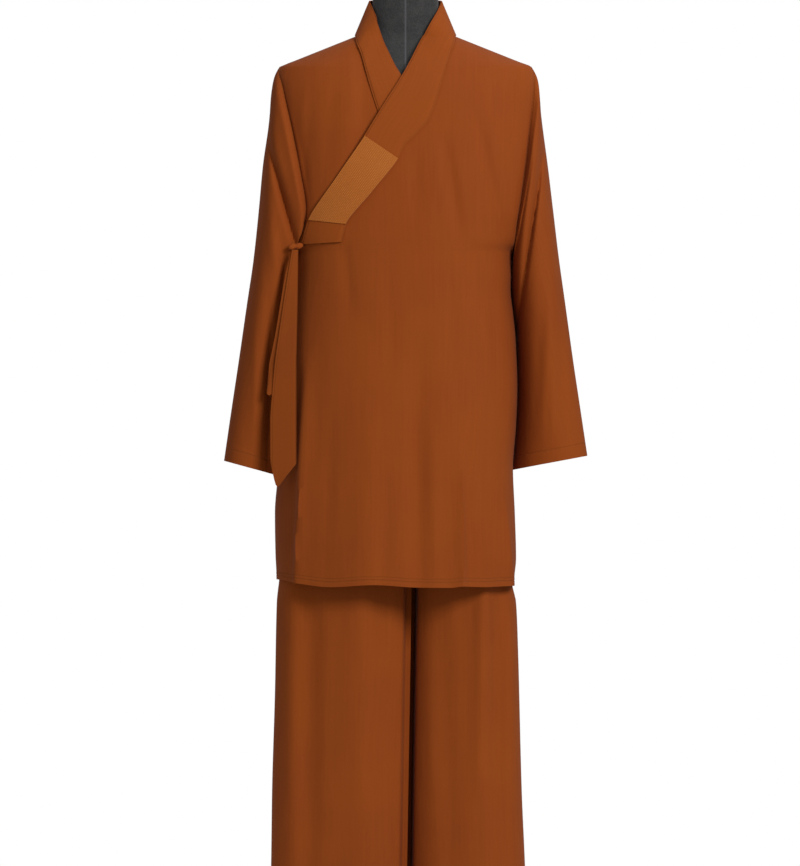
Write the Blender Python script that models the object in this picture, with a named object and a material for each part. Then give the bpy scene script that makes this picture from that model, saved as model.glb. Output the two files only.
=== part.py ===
import math

import bmesh
import bpy
from mathutils import Vector

# Everything below is in millimetres until a mesh is written. +Z is up, the front of the
# garment faces -Y and +X is the wearer's left. Z = 0 is the underside of the stand.
MM = 0.001
WALL = 1.6
BAND_WALL = 2.4
PATCH_WALL = 1.2
TIE_WALL = 1.4
SEAM = 0.3
LAYER = 1.2
ROUND = 2.4
HEM = 603.0
UNDERARM = 1135.0
SHOULDER = 1432.0
CROTCH = 750.0
WAIST = 1040.0
POLE_X = 62.0

CLOTH = (0.247, 0.060, 0.011)
BAND_CLOTH = (0.255, 0.064, 0.013)
PATCH_CLOTH = (0.330, 0.090, 0.018)
FORM_CLOTH = (0.045, 0.042, 0.039)
METAL = (0.300, 0.300, 0.310)

# height, half width on the wearer's left, half width on the wearer's right, front depth, back depth
TORSO = [
    (560, 173, 205, 136, 122),
    (603, 173, 206, 135, 121),
    (646, 177, 208, 134, 119),
    (717, 175, 209, 132, 117),
    (792, 172, 203, 130, 114),
    (860, 177, 199.7, 128, 112),
    (918, 179, 197.2, 126, 110),
    (1000, 176, 191, 124, 108),
    (1040, 172, 187, 123.5, 109),
    (1072, 167, 183, 123, 110),
    (1110, 168, 180, 122.5, 111),
    (1135, 171.5, 180, 122, 112),
    (1150, 181, 188, 122, 112.4),
    (1172, 190, 193, 121.6, 113),
    (1200, 201, 198, 121, 113.6),
    (1262, 211, 206, 118, 113.8),
    (1328, 215, 210, 110, 109),
    (1385, 214.5, 212, 97, 101),
    (1406, 212, 210.5, 89, 96),
    (1421, 207.5, 207, 81, 92),
    (1432, 201, 201, 75, 88),
    (1440, 181, 181, 69, 85),
    (1456, 141, 141, 58, 78),
    (1468, 111, 111, 50, 72),
    (1480, 81, 81, 40, 66),
]

# height, front edge on the wearer's left, front edge on the wearer's right, back edge
ARMHOLE = [
    (1135, 171.5, 180, 1.0),
    (1150, 174, 172, 0.962),
    (1172, 178, 163, 0.937),
    (1200, 183, 160, 0.912),
    (1262, 192, 169, 0.910),
    (1328, 200, 182, 0.930),
    (1385, 206, 195, 0.960),
    (1406, 207, 199, 0.976),
    (1421, 205.5, 202, 0.990),
    (1432, 201, 201, 1.0),
]
ARM_LEVELS = [1135, 1150, 1172, 1200, 1230, 1262, 1296, 1328, 1358, 1385, 1406, 1421, 1432]
RIDGE_LEVELS = [1440, 1450, 1460, 1470, 1479.6]

# top x, top z, low x, low z, half width, height out of the cloth
FRONT_FOLDS = [
    (-154, 980, -176, 480, 13, 7.0),
    (-190, 900, -198, 480, 14, -3.0),
    (88, 830, 90, 470, 13, 5.5),
    (156, 740, 171, 480, 8, 4.0),
    (20, 1010, 24, 500, 20, -4.5),
    (-60, 900, -70, 480, 26, 3.0),
    (112, 1345, 170, 1120, 11, -3.5),
    (15, 1310, 18, 1180, 12, -2.5),
    (60, 1320, 92, 1150, 11, -3.0),
    (-99, 1160, -86, 1020, 9, -4.0),
]
BACK_FOLDS = [
    (-130, 1010, -150, 470, 20, 6.0),
    (-80, 1000, -84, 480, 22, -5.0),
    (-10, 960, -6, 460, 22, 5.0),
    (70, 1010, 76, 480, 20, -4.5),
    (132, 980, 142, 480, 16, 5.0),
    (-150, 1330, -60, 1130, 16, -3.0),
    (152, 1320, 70, 1120, 16, -3.0),
]

# station, outer point x, y, z, inner point x, y, z, how far it lies on the chest; an outer y of 0
# at the front is taken from the chest
BAND = [
    (0, 0.2, 66, 1480.6, 0.2, 63.5, 1541, 0),
    (1, 31, 63.2, 1480.6, 22.5, 61, 1541, 0),
    (2, 57.3, 52, 1480.6, 41.5, 50, 1540, 0),
    (3, 74.8, 31.8, 1480.6, 54, 30, 1539, 0),
    (4, 81.3, 1, 1482.4, 58.5, 2, 1537, 0),
    (4.5, 80.8, -21, 1480.4, 55, -10, 1529, 0),
    (5, 78, -43, 1468.8, 50, -22, 1519, 0),
    (6, 70.9, -61.8, 1450.5, 37.6, -41, 1497.6, 0.3),
    (7, 61.6, -80, 1417.6, 20, -57, 1464, 1),
    (8, 52, -92, 1384.5, 4, -78, 1432, 1),
    (9, 36.8, 0, 1344.3, -12, 0, 1404.8, 1),
    (10, 15.2, 0, 1320, -32.8, 0, 1372.8, 1),
    (11, -3.4, 0, 1300.8, -50.4, 0, 1344, 1),
    (12, -11, 0, 1282.4, -65.3, 0, 1319.5, 1),
    (13, -52, 0, 1230.4, -110, 0, 1253, 1),
    (14, -93, 0, 1178.7, -153, 0, 1186, 1),
    (15, -100.8, 0, 1150.4, -163.5, 0, 1148, 1),
]
BAND_ENDS = (0, 15)
UNDER_BAND_ENDS = (0, 10.5)
PATCH_ENDS = (12, 14)
# station, how far the under band sinks below the outer one
UNDER_BAND_SINK = [(0, 0), (5, 0), (6, 1.8), (7, 5.0), (8, 6.2), (15, 6.2)]
# height, x past which the under front lies below the outer one, depth there
SINK = [
    (603, -214, 5.4), (1110, -214, 5.4), (1122, -200, 6.2), (1130, -184, 6.4), (1141, -172, 6.0),
    (1150, -162, 5.2), (1181, -148, 4.6), (1238, -98, 4.6), (1295, -70, 6.0), (1335, -62, 6.4),
    (1430, -62, 6.4), (1449, -66, 3.4), (1466, -72, 0.0),
]

# free edge of the outer front, from the side up under the band: x, z
OUTER_EDGE = [
    (-170, 1127), (-150, 1139), (-128, 1149), (-114, 1181), (-72, 1238), (-30, 1295), (2, 1335),
    (25, 1359), (42, 1394), (55, 1425), (61, 1440), (64.3, 1447), (67, 1454), (70, 1460),
    (72.6, 1466), (75.6, 1472), (79.4, 1479.6),
]
# free edge of the under front, from the hem up: x, z
UNDER_EDGE = [
    (95, 612), (95, 760), (95, 920), (95, 1060), (93, 1150), (86, 1210), (62, 1260), (30, 1300),
    (-2, 1335), (-25, 1359), (-42, 1394), (-55, 1425), (-67, 1454), (-79.4, 1479.6),
]
# x, height of the front hem
FRONT_HEM = [
    (-206, 612), (-175, 607), (-121, 600.5), (-50, 604), (18, 600), (73, 599.5), (88, 601.5),
    (127, 600.5), (174, 602.5),
]

# share along the sleeve, outer x, outer z, inner x, inner z, front depth, back depth, inner y
SLEEVE_LEFT = [
    (0.00, 201.0, 1432, 172.5, 1135, 62, 60, 0),
    (0.04, 207.5, 1420, 174.0, 1126, 65, 62, 3),
    (0.10, 212.5, 1390, 171.5, 1110, 69, 66, 16),
    (0.20, 219.0, 1338, 168.0, 1078, 74, 67, 38),
    (0.32, 227.5, 1275, 169.5, 1040, 75, 67, 50),
    (0.45, 236.5, 1200, 173.5, 1000, 71, 62, 56),
    (0.58, 245.5, 1125, 175.5, 955, 65, 57, 56),
    (0.70, 256.0, 1050, 176.0, 912, 59, 52, 55),
    (0.82, 268.5, 960, 175.0, 866, 53, 48, 52),
    (0.92, 280.5, 880, 173.0, 822, 47, 45, 47),
    (1.00, 291.0, 809.6, 170.0, 787, 42, 42, 42),
]
SLEEVE_RIGHT = [
    (0.00, 201.0, 1432, 181.5, 1135, 62, 60, 0),
    (0.04, 207.5, 1420, 183.5, 1126, 66, 62, 0),
    (0.10, 213.5, 1390, 185.0, 1110, 71, 66, 0),
    (0.20, 219.0, 1338, 186.5, 1078, 76, 69, 0),
    (0.32, 228.0, 1275, 190.8, 1040, 76, 70, 0),
    (0.45, 235.0, 1200, 194.8, 1000, 72, 68, 0),
    (0.58, 243.0, 1125, 198.4, 955, 67, 64, 0),
    (0.70, 254.0, 1050, 201.4, 912, 62, 60, 0),
    (0.82, 267.0, 960, 203.4, 866, 58, 57, 0),
    (0.92, 279.0, 880, 205.4, 822, 54, 54, 0),
    (1.00, 290.4, 801.6, 207.0, 779, 51, 52, 0),
]
# top x, top z, low x, low z, half width, height; only on the front half of the sleeve
SLEEVE_FOLDS_LEFT = [
    (226, 1330, 176, 1000, 8, -7.0),
    (214, 1400, 186, 1080, 8, 4.5),
    (243, 1260, 226, 820, 14, 4.0),
    (254, 1060, 250, 850, 11, -3.5),
]
SLEEVE_FOLDS_RIGHT = [
    (-222, 1330, -176, 1110, 8, -7.0),
    (-208, 1420, -166, 1140, 9, 5.0),
    (-233, 1120, -238, 800, 12, 5.0),
    (-214, 1080, -216, 800, 12, -4.0),
]

# height, inner x, outer x, front depth, back depth of each trouser leg
LEG_LEFT = [
    (45, -1.2, 195, 72, 76),
    (160, 0.7, 191, 72, 76),
    (275, 2.5, 186, 73, 76),
    (505, 6.2, 180, 76, 78),
    (575, 7.3, 177, 78, 79),
    (615, 7.6, 168.5, 79, 80),
    (690, 8.1, 167, 82, 82),
    (750, 7.4, 167, 85, 84),
]
LEG_RIGHT = [
    (45, 0.8, -217.5, 72, 76),
    (160, 2.7, -215, 72, 76),
    (275, 4.5, -213.5, 73, 76),
    (429, 7.0, -209, 75, 77),
    (575, 9.3, -205, 78, 79),
    (606, 9.6, -196.5, 79, 80),
    (690, 7.5, -194, 82, 82),
    (750, 6.6, -191, 85, 84),
]
# the inner leg seams hang one a little behind the other, so the legs close up between them
LEG_STAGGER = 22.0
# height, half width left, half width right, front depth, back depth round the hips
HIPS = [
    (750, 167, 191, 100, 94),
    (860, 168, 185, 105, 97),
    (950, 162, 172, 104, 95),
    (1039.6, 141.2, 141.2, 95.2, 89.2),
]
FRONT_LEG_FOLDS = [
    (128, 760, 118, 300, 14, 6.0),
    (150, 700, 152, 200, 12, -5.0),
    (60, 620, 74, 80, 18, -4.0),
    (-120, 700, -124, 40, 24, -6.0),
    (-42, 720, -60, 120, 20, 4.5),
    (-176, 640, -172, 60, 16, 4.0),
]
BACK_LEG_FOLDS = [
    (110, 740, 104, 120, 22, 5.0),
    (60, 700, 66, 200, 18, -5.0),
    (-90, 740, -96, 120, 22, 5.0),
    (-150, 700, -140, 140, 20, -5.0),
]

# height, half width, front depth, back depth, roundness of the limbless form
FORM = [
    (900, 104, 58, 56, 2.2),
    (904, 130, 76, 72, 2.2),
    (916, 143, 90, 84, 2.3),
    (940, 149, 97, 89, 2.3),
    (980, 147, 98, 90, 2.3),
    (1030, 138.6, 92.6, 86.6, 2.3),
    (1085, 138.6, 92.6, 86.6, 2.3),
    (1130, 146, 104, 95, 2.3),
    (1200, 152, 108, 102, 2.3),
    (1260, 159, 106, 104, 2.3),
    (1310, 167, 100, 101, 2.3),
    (1360, 177, 91, 96, 2.3),
    (1400, 186, 79, 91, 2.3),
    (1420, 189, 71, 86, 2.3),
    (1430, 186, 65, 82, 2.2),
    (1440, 168, 57, 78, 2.2),
    (1456, 130, 47, 70, 2.1),
    (1470, 94, 42, 63, 2.0),
    (1477, 74, 39, 60, 2.0),
    (1488, 57, 38.5, 57, 2.0),
    (1505, 52.8, 39, 56, 2.0),
    (1550, 52.5, 40, 56, 2.0),
    (1557, 48.5, 37, 52, 2.0),
    (1560, 39.5, 29, 42, 2.0),
]

# height, outer edge x, inner edge x, outer edge y, inner edge y, then the pointed end
TIE_LONG = [
    (1138.2, -181, -171, -83.8, -83.8),
    (1095, -188, -171.5, -86, -86.5),
    (1001, -202, -173, -86, -87),
    (957, -208, -174, -84, -89),
    (910, -212, -174, -83, -91),
    (867, -215, -174, -82, -92),
    (805, -215, -174, -82, -92),
]
TIE_LONG_END = [(-214, 796), (-211, 780), (-204, 760), (-190, 777), (-174, 797)]
TIE_SHORT = [
    (1137.4, -182, -174, -81.6, -81.6),
    (1095, -192, -176, -83.6, -84),
    (1001, -208, -180, -82.0, -83.8),
    (957, -217, -183, -78.0, -83.4),
]
TIE_SHORT_END = [(-219.5, 918), (-220.5, 909), (-216, 906), (-203, 920), (-184, 938)]


def read(table, at, column=1):
    """Value of one column of a table at a place in between its rows, with no overshoot."""
    if at <= table[0][0]:
        return table[0][column]
    if at >= table[-1][0]:
        return table[-1][column]
    k = 0
    while table[k + 1][0] < at:
        k += 1

    def slope(i):
        step = table[i + 1][0] - table[i][0]
        return (table[i + 1][column] - table[i][column]) / step

    def lean(i):
        if i == 0 or i == len(table) - 1:
            return slope(min(i, len(table) - 2))
        before = slope(i - 1)
        after = slope(i)
        if before * after <= 0:
            return 0.0
        return 2 * before * after / (before + after)

    width = table[k + 1][0] - table[k][0]
    t = (at - table[k][0]) / width
    a = table[k][column]
    b = table[k + 1][column]
    hold = (1 + 2 * t) * (1 - t) ** 2 * a + t * t * (3 - 2 * t) * b
    return hold + width * (t * (1 - t) ** 2 * lean(k) - t * t * (1 - t) * lean(k + 1))


def ramp(low, high, at):
    t = min(1.0, max(0.0, (at - low) / (high - low)))
    return t * t * (3 - 2 * t)


def fold(table, x, z):
    """Height out of the cloth that the folds of a table give at x, z."""
    out = 0.0
    for top_x, top_z, low_x, low_z, half, high in table:
        t = (top_z - z) / (top_z - low_z)
        if 0 < t < 1:
            middle = top_x + (low_x - top_x) * t
            out += high * math.exp(-(((x - middle) / half) ** 2)) * math.sin(math.pi * t) ** 0.7
    return out


def half_width(side, z):
    return read(TORSO, z, 1 if side > 0 else 2)


def depth(face, z):
    return read(TORSO, z, 3 if face < 0 else 4)


def torso_y(face, x, z):
    """The y of the torso surface; face is -1 at the front and 1 at the back."""
    share = min(1.0, abs(x) / half_width(x, z))
    return face * depth(face, z) * (1 - share**ROUND) ** (1 / ROUND)


def torso(face, s, z, out=0.0):
    """Point of the torso: s runs from -1 at the wearer's right side to 1 at the left side."""
    wide = half_width(s, z)
    x = wide * math.sin(math.pi / 2 * s)
    y = torso_y(face, x, z)
    across = (abs(x) / wide) ** (ROUND - 1) / wide * (1 if x > 0 else -1)
    along = (abs(y) / depth(face, z)) ** (ROUND - 1) / depth(face, z) * face
    size = math.hypot(across, along)
    return Vector((x + out * across / size, y + out * along / size, z))


def turn(side, face, z):
    """The s of the armhole edge."""
    if face < 0:
        share = read(ARMHOLE, z, 1 if side > 0 else 2) / half_width(side, z)
    else:
        share = read(ARMHOLE, z, 3)
    return side * 2 / math.pi * math.asin(min(1.0, share))


def place(x, z):
    """The s of a point of the front given by x and z."""
    return 2 / math.pi * math.asin(max(-1.0, min(1.0, x / half_width(x, z))))


def side_out(side, z):
    """Outward direction along the side and shoulder line."""
    lean = (half_width(side, z + 2) - half_width(side, z - 2)) / 4
    return Vector((side, 0, -lean)).normalized()


def arm_out(side, face, z):
    """Outward direction that a panel and its sleeve share along the armhole."""
    w = ramp(1270, SHOULDER, z)
    return Vector((side * (0.42 + 0.36 * w), face * (1 - w) * 0.9, 0.72 * w)).normalized()


def material(name, colour, rough):
    made = bpy.data.materials.new(name)
    made.use_nodes = True
    shader = made.node_tree.nodes["Principled BSDF"]
    shader.inputs["Base Color"].default_value = (*colour, 1)
    shader.inputs["Roughness"].default_value = rough
    return made


def keep(name, bm, paint):
    mesh = bpy.data.meshes.new(name)
    bm.to_mesh(mesh)
    bm.free()
    mesh.materials.append(paint)
    made = bpy.data.objects.new(name, mesh)
    home.objects.link(made)
    return made


def sheet(name, columns, rows, at, wall, paint, tube=False, share=None):
    """Cloth of one thickness: at(i, j) gives the outer point of column i and row j."""
    bm = bmesh.new()
    bmesh.ops.create_grid(bm, x_segments=columns, y_segments=rows, size=0.5)
    inward = bm.verts.layers.float_vector.new("inward")
    shared = {}
    for vert in bm.verts:
        i = round((vert.co.x + 0.5) * columns)
        j = round((vert.co.y + 0.5) * rows)
        vert.co = at(i, j)
        if share and share(i, j) is not None:
            shared[vert] = share(i, j)
    if tube:
        bmesh.ops.remove_doubles(bm, verts=bm.verts[:], dist=1e-4)
        shared = {v: d for v, d in shared.items() if v.is_valid}
    bm.normal_update()
    for vert in bm.verts:
        vert[inward] = -wall * shared.get(vert, vert.normal)
    inner = bmesh.ops.extrude_face_region(bm, geom=bm.faces[:], use_keep_orig=True)
    for vert in inner["geom"]:
        if isinstance(vert, bmesh.types.BMVert):
            vert.co += vert[inward]
    bmesh.ops.recalc_face_normals(bm, faces=bm.faces[:])
    bmesh.ops.scale(bm, vec=(MM, MM, MM), verts=bm.verts[:])
    return keep(name, bm, paint)


def along_edge(points, t):
    """Point of an edge given by a list of x, z, at a share t of its rows."""
    table = [(k, x, z) for k, (x, z) in enumerate(points)]
    at = t * (len(points) - 1)
    return read(table, at, 1), read(table, at, 2)


def hem_drop(x, z):
    return (read(FRONT_HEM, x) - HEM) * (1 - ramp(HEM, HEM + 90, z))


def side_levels(low, high, count):
    return [low + (high - low) * k / count for k in range(count)]


def ends(side, face, z):
    """The s where a panel stops at one side: side seam, armhole or shoulder line."""
    return turn(side, face, z) if UNDERARM < z < SHOULDER else float(side)


def edge_out(side, face, z):
    if z <= UNDERARM or z >= SHOULDER:
        return side_out(side, z)
    if z >= 1190:
        return arm_out(side, face, z)
    return None


def front_panel():
    levels = side_levels(HEM, 1075, 12) + [1075, 1100, 1118] + ARM_LEVELS + RIDGE_LEVELS
    edge = [(603, -1.0), (1050, -1.0), (1075, -0.97), (1100, -0.92), (1118, -0.88)]
    edge += [(z, place(x, z)) for x, z in OUTER_EDGE]
    stops = [0, 0.02, 0.05, 0.1, 0.15, 0.2, 0.25, 0.31, 0.38, 0.45, 0.5, 0.54, 0.59, 0.64]
    stops += [0.69, 0.74, 0.8, 0.86, 0.91, 0.96, 1]

    def at(i, j):
        z = levels[j]
        low = read(edge, z)
        s = low + (ends(1, -1, z) - low) * stops[i]
        x = torso(-1, s, z).x
        inner = 0 if stops[i] in (0, 1) else 1
        point = torso(-1, s, z, inner * fold(FRONT_FOLDS, x, z))
        point.z += hem_drop(x, z)
        if abs(s) > 0.9999:
            point.y -= SEAM / 2
        return point

    def share(i, j):
        if i == len(stops) - 1:
            return edge_out(1, -1, levels[j])
        return side_out(-1, levels[j]) if i == 0 and levels[j] < 1060 else None

    sheet("front_left", len(stops) - 1, len(levels) - 1, at, WALL, cloth, share=share)


def sink(x, z):
    """Depth of the under front below the torso surface."""
    edge = read(SINK, z, 1)
    return read(SINK, z, 2) * ramp(edge - 28, edge - 2, x)


def under_panel():
    levels = side_levels(HEM + 9, 1112, 12) + [1112, 1124] + ARM_LEVELS + RIDGE_LEVELS
    stops = [0, 0.05, 0.12, 0.2, 0.3, 0.4, 0.52, 0.64, 0.76, 0.88, 1]
    edge = [(z, x) for x, z in UNDER_EDGE]

    def at(i, j):
        z = levels[j]
        low = ends(-1, -1, z)
        s = low + (place(read(edge, z), z) - low) * stops[i]
        x = torso(-1, s, z).x
        hold = ramp(1112, 1130, z) * (1 - min(1, stops[i] / 0.1))
        out = (min(0, fold(FRONT_FOLDS, x, z)) - sink(x, z)) * (1 - hold)
        point = torso(-1, s, z, out)
        if abs(s) > 0.9999:
            point.y = -SEAM / 2
        return point

    def share(i, j):
        return edge_out(-1, -1, levels[j]) if i == 0 else None

    sheet("front_right", len(stops) - 1, len(levels) - 1, at, WALL, cloth, share=share)


def back_panel():
    levels = side_levels(HEM + 6, UNDERARM, 13) + ARM_LEVELS + RIDGE_LEVELS
    columns = 20

    def at(i, j):
        z = levels[j]
        high = ends(1, 1, z)
        s = high + (ends(-1, 1, z) - high) * i / columns
        x = torso(1, s, z).x
        edge = i in (0, columns)
        out = 0.0 if edge else fold(BACK_FOLDS, x, z)
        out -= 5.4 * ramp(150, 178, -x) * (1 - ramp(1112, 1130, z))
        point = torso(1, s, z, out)
        if abs(s) > 0.9999:
            point.y = SEAM / 2
        return point

    def share(i, j):
        if i not in (0, columns):
            return None
        return edge_out(1 if i == 0 else -1, 1, levels[j])

    sheet("back_panel", columns, len(levels) - 1, at, WALL, cloth, share=share)


def sleeve(name, side, table, folds):
    half = len(ARM_LEVELS) - 1
    middle = (SHOULDER + UNDERARM) / 2
    reach = (SHOULDER - UNDERARM) / 2
    angles = [math.acos(max(-1, min(1, (z - middle) / reach))) for z in reversed(ARM_LEVELS)]
    stops = [0, 0.03, 0.07, 0.12, 0.17, 0.22, 0.28, 0.35, 0.42, 0.49, 0.57, 0.65, 0.73, 0.8]
    stops += [0.87, 0.94, 1]

    def ring(k, angle, face):
        out = Vector((side * read(table, k, 1), 0, read(table, k, 2)))
        low = Vector((side * read(table, k, 3), 0, read(table, k, 4)))
        deep = read(table, k, 5 if face < 0 else 6)
        turned = math.cos(angle)
        along = abs(turned) ** 0.9 * (1 if turned > 0 else -1)
        point = (out + low) / 2 + (out - low) / 2 * along
        point.y = face * deep * max(0.0, math.sin(angle)) ** 0.85
        point.y += read(table, k, 7) * ((1 - along) / 2) ** 3
        return point

    def at(i, j):
        step = i if i <= half else 2 * half - i
        face = -1 if i <= half else 1
        if step in (0, half):
            face = -1
        k = stops[j]
        z = ARM_LEVELS[half - step]
        angle = angles[step]
        away = 0.5 + 1.2 * (1 - ramp(UNDERARM + 15, 1200, z))
        edge = torso(face, turn(side, face, z), z) + Vector((side * away, 0, 0))
        if step in (0, half):
            edge.y = 0.0
        point = ring(k, angle, face)
        fade = 1 - ramp(0, 0.26, k)
        point += (edge - ring(0, angle, face)) * fade
        if face < 0 and 0 < step < half and k > 0:
            lift = fold(folds, point.x, point.z) * math.sin(angle) ** 0.5 * ramp(0, 0.05, k)
            point.y -= lift
        return point

    def share(i, j):
        if j:
            return None
        step = i if i <= half else 2 * half - i
        face = -1 if i <= half else 1
        z = ARM_LEVELS[half - step]
        return arm_out(side, face, z) if z >= 1190 else None

    columns = 2 * half

    def turned(i, j):
        return at(i if side > 0 else columns - i, j)

    def turned_share(i, j):
        return share(i if side > 0 else columns - i, j)

    sheet(name, columns, len(stops) - 1, turned, WALL, cloth, tube=True, share=turned_share)


def chest(x, z, out):
    """Point over the front of the torso, moved out along its normal."""
    step = 0.5
    y = torso_y(-1, x, z)
    lean_x = (torso_y(-1, x + step, z) - torso_y(-1, x - step, z)) / (2 * step)
    lean_z = (torso_y(-1, x, z + step) - torso_y(-1, x, z - step)) / (2 * step)
    return Vector((x, y, z)) + Vector((lean_x, -1, lean_z)).normalized() * out


def band_point(t, w, side=1, sink=0.0):
    """Outer face of a front band: t along its stations, w from the sewn to the free edge."""
    sewn = Vector([read(BAND, t, c) for c in (1, 2, 3)])
    free = Vector([read(BAND, t, c) for c in (4, 5, 6)])
    flat = sewn.lerp(free, w)
    lie = read(BAND, t, 7)
    out = BAND_WALL + LAYER - sink
    mirror = Vector((side, 1, 1))
    if t > 5:
        near = ramp(5, 5.6, t)
        sewn = sewn.lerp(chest(side * sewn.x, sewn.z, out) * mirror, near)
    free.y += sink
    point = sewn.lerp(free, w)
    if lie > 0:
        flat = chest(side * flat.x, flat.z, out) * mirror
        point = point.lerp(flat, lie)
    return point * mirror


def spread(point, t, w, out):
    """A point of a surface moved out along its normal."""
    step_t = (point(t + 0.02, w) - point(t - 0.02, w))
    step_w = (point(t, w + 0.02) - point(t, w - 0.02))
    return point(t, w) + step_w.cross(step_t).normalized() * out


def band(name, side, ends, sinks):
    rows = 45 if side > 0 else 30
    columns = 4

    def at(i, j):
        t = ends[0] + (ends[1] - ends[0]) * j / rows
        w = i / columns if side > 0 else 1 - i / columns
        return band_point(t, w, side, read(UNDER_BAND_SINK, t) if sinks else 0.0)

    def share(i, j):
        return Vector((0, 1, 0)) if j == 0 else None

    sheet(name, columns, rows, at, BAND_WALL, band_cloth, share=share)


def patch():
    def at(i, j):
        t = PATCH_ENDS[0] + (PATCH_ENDS[1] - PATCH_ENDS[0]) * j / 6
        w = 0.015 + 0.97 * i / 4
        return spread(band_point, t, w, PATCH_WALL + 0.5)

    sheet("collar_patch", 4, 6, at, PATCH_WALL, patch_cloth)


def ribbon(name, table, end):
    rows = len(table) + 4
    last = table[-1]

    def at(i, j):
        w = i / 3
        if j < len(table):
            z, out_x, in_x, out_y, in_y = table[j]
            return Vector((out_x + (in_x - out_x) * w, out_y + (in_y - out_y) * w, z))
        t = (j - len(table) + 1) / 5
        start = Vector((last[1] + (last[2] - last[1]) * w, 0, last[0]))
        low = along_edge(end, w)
        point = start.lerp(Vector((low[0], 0, low[1])), t)
        point.y = last[3] + (last[4] - last[3]) * w
        return point

    sheet(name, 3, rows, at, TIE_WALL, cloth)


def knot():
    bm = bmesh.new()
    bmesh.ops.create_uvsphere(bm, u_segments=12, v_segments=8, radius=1)
    for vert in bm.verts:
        pinch = 1 - 0.28 * math.exp(-((vert.co.x / 0.3) ** 2))
        vert.co = Vector((
            -175.1 + 12.0 * vert.co.x,
            -79.9 + 6.0 * vert.co.y * pinch + 2.4 * vert.co.x,
            1143.7 + 6.2 * vert.co.z * pinch + 1.5 * vert.co.x,
        ))
    bmesh.ops.scale(bm, vec=(MM, MM, MM), verts=bm.verts[:])
    keep("tie_knot", bm, cloth)


def trouser(name, side, face):
    table = LEG_LEFT if side > 0 else LEG_RIGHT
    folds = FRONT_LEG_FOLDS if face < 0 else BACK_LEG_FOLDS
    levels = [45, 100, 170, 240, 310, 380, 450, 520, 575, 606, 655, 700, 750, 790, 830, 870]
    levels += [930, 985, 1039.6]
    columns = 10

    def leg(u, z):
        inner = read(table, z, 1)
        outer = read(table, z, 2)
        turned = math.cos(math.pi * u)
        across = abs(turned) ** 0.85 * (1 if turned > 0 else -1)
        x = (inner + outer) / 2 + (outer - inner) / 2 * across
        y = face * read(table, z, 3 if face < 0 else 4) * math.sin(math.pi * u) ** 0.85
        y += side * LEG_STAGGER * (1 - ramp(650, 735, z)) * u**3
        return Vector((x, y, z))

    def hip(u, z):
        wide = read(HIPS, z, 1 if side > 0 else 2)
        centre = 7 * (1 - ramp(CROTCH, WAIST, z))
        angle = math.pi / 2 * u
        x = centre + (side * wide - centre) * math.cos(angle) ** 0.85
        y = face * read(HIPS, z, 3 if face < 0 else 4) * math.sin(angle) ** 0.85
        return Vector((x, y, z))

    def at(i, j):
        z = levels[j]
        u = i / columns
        low = leg(u, z)
        point = low.lerp(hip(u, z), ramp(CROTCH, 870, z))
        if 0 < i < columns:
            point.y += face * fold(folds, point.x, z)
        if i == 0:
            point.y += face * SEAM / 2
        if i == columns:
            apart = ramp(CROTCH, 870, z)
            point.x += side * SEAM / 2 * apart
            point.y += face * SEAM / 2 * (1 - apart)
        return point

    def share(i, j):
        z = levels[j]
        if i == 0:
            return Vector((side, 0, 0))
        if i == columns:
            w = ramp(CROTCH, 870, z)
            return Vector((-side * (1 - w), face * w, 0)).normalized()
        return None

    flip = side * face < 0

    def turned(i, j):
        return at(columns - i if flip else i, j)

    def turned_share(i, j):
        return share(columns - i if flip else i, j)

    sheet(name, columns, len(levels) - 1, turned, WALL, cloth, share=turned_share)


def waistband():
    def at(i, j):
        angle = 2 * math.pi * i / 28
        deep = 95.2 if math.sin(angle) < 0 else 89.2
        cos = math.cos(angle)
        sin = math.sin(angle)
        x = 141.2 * abs(cos) ** 0.87 * (1 if cos > 0 else -1)
        y = deep * abs(sin) ** 0.87 * (1 if sin > 0 else -1)
        return Vector((x, y, 1040 + 35 * j / 2))

    sheet("trouser_waistband", 28, 2, at, 2.0, band_cloth, tube=True)


def form():
    bm = bmesh.new()
    around = 28
    rings = []
    for z, wide, front, back, roundness in FORM:
        ring = []
        for k in range(around):
            angle = 2 * math.pi * k / around
            cos = math.cos(angle)
            sin = math.sin(angle)
            deep = front if sin < 0 else back
            power = 2 / roundness
            x = wide * abs(cos) ** power * (1 if cos > 0 else -1)
            y = deep * abs(sin) ** power * (1 if sin > 0 else -1)
            ring.append(bm.verts.new((x, y, z)))
        edges = [bm.edges.new((ring[k], ring[(k + 1) % around])) for k in range(around)]
        rings.append(edges)
    for low, high in zip(rings, rings[1:]):
        bmesh.ops.bridge_loops(bm, edges=low + high)
    bmesh.ops.contextual_create(bm, geom=rings[0])
    bmesh.ops.contextual_create(bm, geom=rings[-1])
    bmesh.ops.recalc_face_normals(bm, faces=bm.faces[:])
    bmesh.ops.scale(bm, vec=(MM, MM, MM), verts=bm.verts[:])
    keep("dress_form", bm, form_cloth)


def turned_part(name, profile, x, paint, count):
    """A round part from its profile of radius and height."""
    bm = bmesh.new()
    points = [bm.verts.new((r, 0, z)) for r, z in profile]
    edges = [bm.edges.new(pair) for pair in zip(points, points[1:])]
    bmesh.ops.spin(
        bm, geom=points + edges, cent=(0, 0, 0), axis=(0, 0, 1), angle=2 * math.pi,
        steps=count, use_merge=True,
    )
    bmesh.ops.remove_doubles(bm, verts=bm.verts[:], dist=1e-4)
    bmesh.ops.recalc_face_normals(bm, faces=bm.faces[:])
    bmesh.ops.translate(bm, vec=(x, 0, 0), verts=bm.verts[:])
    bmesh.ops.scale(bm, vec=(MM, MM, MM), verts=bm.verts[:])
    keep(name, bm, paint)


for old in list(bpy.data.objects):
    bpy.data.objects.remove(old)
home = bpy.data.collections.new("buddhist_monk_robe")
bpy.context.scene.collection.children.link(home)

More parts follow.
